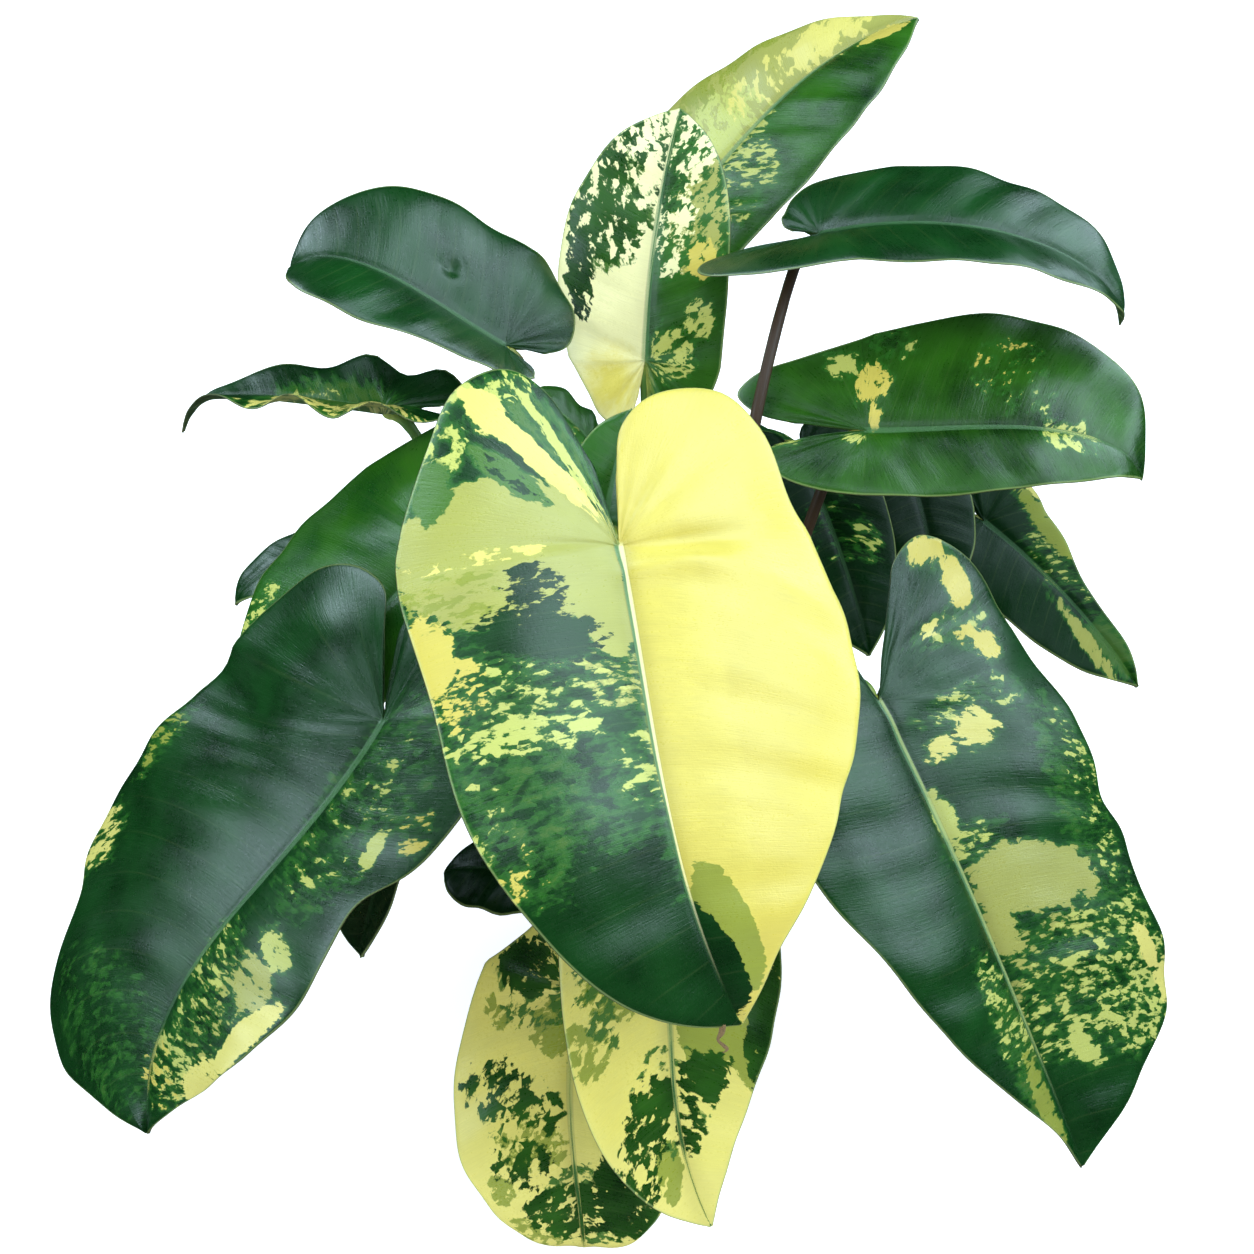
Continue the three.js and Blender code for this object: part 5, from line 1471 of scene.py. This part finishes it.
def crumb_material(name):
    """Soil, bark, grains or the dried tip: two tones broken by noise, with painted shade in the crumbs'
    hollows.
    """
    one, other, roughness, pitch = CRUMBS[name]
    material, graph = material_with(name)
    place = graph.place()
    crumbs = graph.noise(place, pitch, 4.0, 0.65)
    lumps = graph.noise(place, pitch / 5, 2.0, 0.5)
    colour = graph.blend((crumbs * 0.7 + lumps * 0.8 - 0.3).held(), one, other)
    # Painted shade: the colour is darkened to 0.4 where the crumbs' bump is lowest, in their hollows.
    colour = graph.blend(crumbs.ramp(0.45, 0.34), colour, graph.scaled(colour, 0.4))
    surface(
        graph, base_color=colour, roughness=roughness + 0.15 * crumbs, normal=graph.bump(crumbs, 0.8, 0.9)
    )
    return material


def pot_profile():
    """The pot's outline as pairs of radius and height: up the outside, over the rim and down the inside."""
    height, base, wall, floor, lip, out = (
        POT[key] for key in ("height", "base", "wall", "floor", "lip", "out")
    )

    def outer(z):
        return base + POT_FLARE * z

    low = height - lip
    foot, roll, inner = base - 2.2, outer(height) + out - 1.5, outer(height) - wall
    quarter = np.linspace(0.2, 1.57, 6)
    return [
        (foot, 0),
        *((foot + 2.2 * math.sin(t), 1.8 - 1.8 * math.cos(t)) for t in quarter),
        *((outer(z) + 0.12 * math.sin(z * 1.1) ** 2, z) for z in np.linspace(3, low - 1.4, 46)),
        (outer(low) + 0.15, low - 0.5), (outer(low) + 0.7, low + 0.05), (outer(low) + out - 0.5, low + 0.4),
        (outer(low) + out - 0.1, low + 0.8), (outer(low) + out, low + 1.6),
        *((outer(z) + out, z) for z in np.linspace(low + 3, height - 1.6, 5)),
        *((roll + 1.5 * math.cos(t), height - 1.5 + 1.5 * math.sin(t)) for t in quarter),
        *((inner + 1 - math.sin(t), height - 1 + math.cos(t)) for t in np.linspace(0, 1.57, 5)),
        *((outer(z) - wall, z) for z in np.linspace(height - 3, floor + 1.5, 14)),
        (outer(floor) - wall - 0.5, floor + 0.4), (outer(floor) - wall - 1.5, floor),
    ]


def build_pot(settings):
    """The pot: a thin tapered shell with a rolled rim, turned from one profile, and drain holes below."""
    plastic = pot_material(settings)
    points, faces = upright_body((0, 0, 0), pot_profile(), POT_SIDES)
    piece = made_object("pot_shell", points, faces, plastic)
    cutters = []
    for k in range(POT["holes"]):
        turn = k / POT["holes"] * 2 * math.pi
        centre = POT["circle"] * math.cos(turn), POT["circle"] * math.sin(turn), 0
        hole = (POT["hole"], -1.0), (POT["hole"], POT["floor"] + 1)
        cutter = made_object("cutter_%d" % k, *upright_body(centre, hole, HOLE_SIDES), plastic)
        modifier = piece.modifiers.new("hole_%d" % k, "BOOLEAN")
        modifier.operation = "DIFFERENCE"
        modifier.solver = "EXACT"
        modifier.object = cutter
        cutters.append(cutter)
    settled(piece)
    for cutter in cutters:
        bpy.data.objects.remove(cutter, do_unlink=True)
    piece.data.set_sharp_from_angle(angle=math.radians(40))
    return placed(piece, "pot", "pot")


def pot_material(settings):
    """Dark nursery plastic: a fine satin grain, faint turning lines, and a little dust and dried soil."""
    material, graph = material_with("pot_plastic")
    place = graph.place()
    x, y, z = graph.parts(place)
    grain = graph.noise(place, 2600.0, 2.0, 0.6)
    dust = graph.noise(place, 60.0, 5.0, 0.65)
    splash = graph.noise(graph.vector(x * 140.0, y * 140.0, z * 50.0), 1.0, 4.0, 0.6)
    low = z.ramp(0.04, 0.0)
    high = z.ramp(0.085, 0.12)
    colour = graph.blend(grain * 0.5, tuple(settings.pot_colour), POT_WORN)
    colour = graph.blend(dust.ramp(0.5, 0.8) * 0.35, colour, POT_DUST)
    colour = graph.blend(splash.ramp(0.62, 0.72) * (0.15 + 0.35 * low + 0.25 * high), colour, tone("bark"))
    lines = (z * 5200.0).sine() * 0.5 + 0.5
    surface(
        graph,
        base_color=colour,
        roughness=0.42 + 0.2 * dust + 0.08 * grain,
        specular_ior_level=0.45,
        normal=graph.bump(grain * 0.6 + lines * 0.25 + dust * 0.3, 0.09, 0.5),
    )
    return material


def build_tip_thread():
    """The dried brown thread that hangs from the front leaf's lower edge, near its point."""
    form = BladeForm(next(one for one in LEAVES if one["name"] == "front_centre"))
    along, across = form.edge(np.linspace(0.8, 1.0, 200), -1)
    pick = [int(np.argmin(np.abs(np.hypot(along - form.length, across) - THREAD["from_point"])))]
    start = form.at(along[pick], across[pick], np.array([-1.0]))[0]
    rings = THREAD["rings"]
    centres = curve_through(start + np.array(THREAD["knots"]), np.linspace(0, 1, rings))
    heading = unit(np.gradient(centres, axis=0))
    one = unit(np.cross(heading, np.array([1.0, 0.1, 0.1])))
    other = np.cross(heading, one)
    width = THREAD["width"] * (1 - np.linspace(0, 1, rings)) ** 0.7 + 0.16
    twist = 1 + 0.3 * np.sin(np.linspace(0, 11, rings))
    points, faces = ring_body(centres, one, other, (width * twist)[:, None].repeat(14, 1))
    return placed(made_object("leaf_tip_thread", points, faces, crumb_material("dried_tip")), "leaf")


# The stage.


def light_panel(name, azimuth, elevation, far, width, height, radiance, colour, sheen):
    """A soft light panel that faces the plant. sheen: whether it is mirrored in the leaves."""
    lamp = bpy.data.lights.new(name, "AREA")
    lamp.shape = "RECTANGLE"
    lamp.size, lamp.size_y = width, height
    lamp.energy = 4 * width * height * radiance
    lamp.color = colour
    made = bpy.data.objects.new(name, lamp)
    turn, rise = math.radians(azimuth), math.radians(elevation)
    level = math.cos(rise)
    way = mathutils.Vector((math.sin(turn) * level, -math.cos(turn) * level, math.sin(rise)))
    made.location = way * far + mathutils.Vector(PANELS_FACE)
    made.rotation_mode = "QUATERNION"
    made.rotation_quaternion = way.to_track_quat("Z", "Y")
    made.visible_glossy = sheen
    bpy.context.scene.collection.objects.link(made)
    return made


def build_floor(settings):
    """The pale floor, just under the pot."""
    material, graph = material_with("floor_paint")
    cloud = graph.noise(graph.place(), 6.0, 3.0, 0.5)
    surface(
        graph,
        base_color=graph.blend(cloud * 0.4, tuple(settings.floor_colour), FLOOR_SHADE),
        roughness=0.85,
        specular_ior_level=0.1,
        emission_color=(1.0, 1.0, 1.0, 1.0),
        emission_strength=settings.floor_glow,
    )
    size = settings.floor_size / MM
    corners = [(x * size, y * size, FLOOR_TOP) for x, y in ((-1, -1), (1, -1), (1, 1), (-1, 1))]
    floor = made_object("floor", corners, [[0, 1, 2, 3]], material)
    floor.visible_glossy = False
    return floor


def build_camera():
    """The camera, at the photograph's angle."""
    camera = bpy.data.cameras.new("camera")
    camera.lens = CAMERA["lens"]
    camera.sensor_width = CAMERA["sensor"]
    camera.clip_start, camera.clip_end = CAMERA["near"], CAMERA["far"]
    holder = bpy.data.objects.new("camera", camera)
    holder.location = CAMERA["place"]
    holder.rotation_euler = (math.radians(90 - CAMERA["down"]), 0, 0)
    bpy.context.scene.collection.objects.link(holder)
    bpy.context.scene.camera = holder
    return holder


def build_stage(settings):
    """The pale floor, the studio lights and the camera."""
    build_floor(settings)
    world = bpy.data.worlds.new("studio")
    bpy.context.scene.world = world
    world.use_nodes = True
    world.node_tree.nodes["Background"].inputs["Color"].default_value = SKY_COLOUR
    world.node_tree.nodes["Background"].inputs["Strength"].default_value = settings.sky
    world.cycles_visibility.glossy = False
    for name, azimuth, elevation, far, width, height, radiance, colour, sheen in PANELS:
        light_panel(name, azimuth, elevation, far, width, height, radiance * settings.light, colour, sheen)
    build_camera()
    bpy.context.scene.view_settings.view_transform = "Standard"


# The add-on.


class PlantSettings(bpy.types.PropertyGroup):
    """The sizes and strengths that the plant's operators use."""

    detail: FloatProperty(
        name="Blade Detail", description="How finely the leaf blades are divided",
        default=1.0, min=0.3, max=2.0, subtype="FACTOR",
    )
    relief: FloatProperty(
        name="Relief", description="How strongly the blades' surface detail stands out",
        default=1.0, min=0, max=2, subtype="FACTOR",
    )
    vein_depth: FloatProperty(
        name="Vein Depth", description="Depth of the side veins",
        default=0.07 * MM, min=0, max=MM, precision=5, subtype="DISTANCE", unit="LENGTH",
    )
    stalk_rings: IntProperty(
        name="Stalk Rings", description="Rings along each leaf stalk",
        default=90, min=12, max=300, subtype="UNSIGNED",
    )
    chips: IntProperty(
        name="Chips", description="Bark chips per square metre of soil",
        default=42000, min=0, max=200000, subtype="UNSIGNED",
    )
    floor_size: FloatProperty(
        name="Floor Size", description="Half the floor's side",
        default=25.0, min=1, max=60, subtype="DISTANCE", unit="LENGTH",
    )
    floor_glow: FloatProperty(
        name="Floor Glow", description="How much light the pale floor gives off",
        default=0.6, min=0, max=2, subtype="UNSIGNED",
    )
    sky: FloatProperty(
        name="Sky", description="Strength of the even sky light",
        default=0.27, min=0, max=3, subtype="UNSIGNED",
    )
    light: FloatProperty(
        name="Light", description="Strength of the light panels",
        default=1.0, min=0, max=5, subtype="FACTOR",
    )
    deep: FloatVectorProperty(
        name="Deep Green", description="The leaves' darkest green",
        default=tone("deep"), size=4, min=0, max=1, subtype="COLOR",
    )
    green: FloatVectorProperty(
        name="Green", description="The green that the darkest one turns to in places",
        default=tone("green"), size=4, min=0, max=1, subtype="COLOR",
    )
    yellow: FloatVectorProperty(
        name="Yellow", description="The front leaf's yellow half and the yellow specks",
        default=tone("yellow"), size=4, min=0, max=1, subtype="COLOR",
    )
    cream: FloatVectorProperty(
        name="Cream", description="The palest patches, and the front leaf's rib",
        default=tone("cream"), size=4, min=0, max=1, subtype="COLOR",
    )
    pot_colour: FloatVectorProperty(
        name="Pot Colour", description="The pot's plastic under its wear and dust",
        default=(0.022, 0.023, 0.024, 1.0), size=4, min=0, max=1, subtype="COLOR",
    )
    floor_colour: FloatVectorProperty(
        name="Floor Colour", description="The pale floor's colour",
        default=(0.93, 0.93, 0.93, 1.0), size=4, min=0, max=1, subtype="COLOR",
    )


class PLANT_OT_blades(bpy.types.Operator):
    """Build every leaf blade"""

    bl_idname = "plant.blades"
    bl_label = "Leaf Blades"

    def execute(self, context):
        for seed, leaf in enumerate(LEAVES):
            build_blade(leaf, seed, context.scene.plant)
        build_tip_thread()
        return {"FINISHED"}


class PLANT_OT_stalks(bpy.types.Operator):
    """Build every leaf stalk"""

    bl_idname = "plant.stalks"
    bl_label = "Leaf Stalks"

    def execute(self, context):
        skins = stalk_material("stalk_brown", "bark"), stalk_material("stalk_olive", "grass")
        group = stalk_tubes()
        for seed, leaf in enumerate(LEAVES):
            build_stalk(leaf, seed, group, skins[leaf["name"] in PALE_STALKS], context.scene.plant)
        return {"FINISHED"}


class PLANT_OT_stems(bpy.types.Operator):
    """Build the four stems"""

    bl_idname = "plant.stems"
    bl_label = "Stems"

    def execute(self, context):
        bark = stem_material()
        for name in STEMS:
            build_stem(name, bark)
        return {"FINISHED"}


class PLANT_OT_soil(bpy.types.Operator):
    """Build the soil and the chips on it"""

    bl_idname = "plant.soil"
    bl_label = "Soil"

    def execute(self, context):
        build_soil(context.scene.plant)
        return {"FINISHED"}


class PLANT_OT_pot(bpy.types.Operator):
    """Build the pot"""

    bl_idname = "plant.pot"
    bl_label = "Pot"

    def execute(self, context):
        build_pot(context.scene.plant)
        return {"FINISHED"}


class PLANT_OT_stage(bpy.types.Operator):
    """Set the floor, the lights and the camera"""

    bl_idname = "plant.stage"
    bl_label = "Stage"

    def execute(self, context):
        build_stage(context.scene.plant)
        return {"FINISHED"}


OPERATORS = (
    PLANT_OT_blades, PLANT_OT_stalks, PLANT_OT_stems, PLANT_OT_soil, PLANT_OT_pot, PLANT_OT_stage,
)


class PLANT_PT_panel(bpy.types.Panel):
    """The sidebar panel with the plant's settings and operators"""

    bl_idname = "PLANT_PT_panel"
    bl_label = "Philodendron"
    bl_space_type = "VIEW_3D"
    bl_region_type = "UI"
    bl_category = "Plant"

    def draw(self, context):
        settings = context.scene.plant
        for name in PlantSettings.__annotations__:
            self.layout.prop(settings, name)
        for operator in OPERATORS:
            self.layout.operator(operator.bl_idname)


CLASSES = (PlantSettings, *OPERATORS, PLANT_PT_panel)


def register():
    """Makes the plant's classes and its settings known."""
    for one in CLASSES:
        bpy.utils.register_class(one)
    bpy.types.Scene.plant = PointerProperty(type=PlantSettings)


def unregister():
    """Takes the plant's settings and classes away again."""
    del bpy.types.Scene.plant
    for one in reversed(CLASSES):
        bpy.utils.unregister_class(one)


def main():
    """Registers the add-on and builds every piece in order."""
    register()
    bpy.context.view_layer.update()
    for operator in OPERATORS:
        kind, name = operator.bl_idname.split(".")
        getattr(getattr(bpy.ops, kind), name)()


if __name__ == "__main__":
    main()
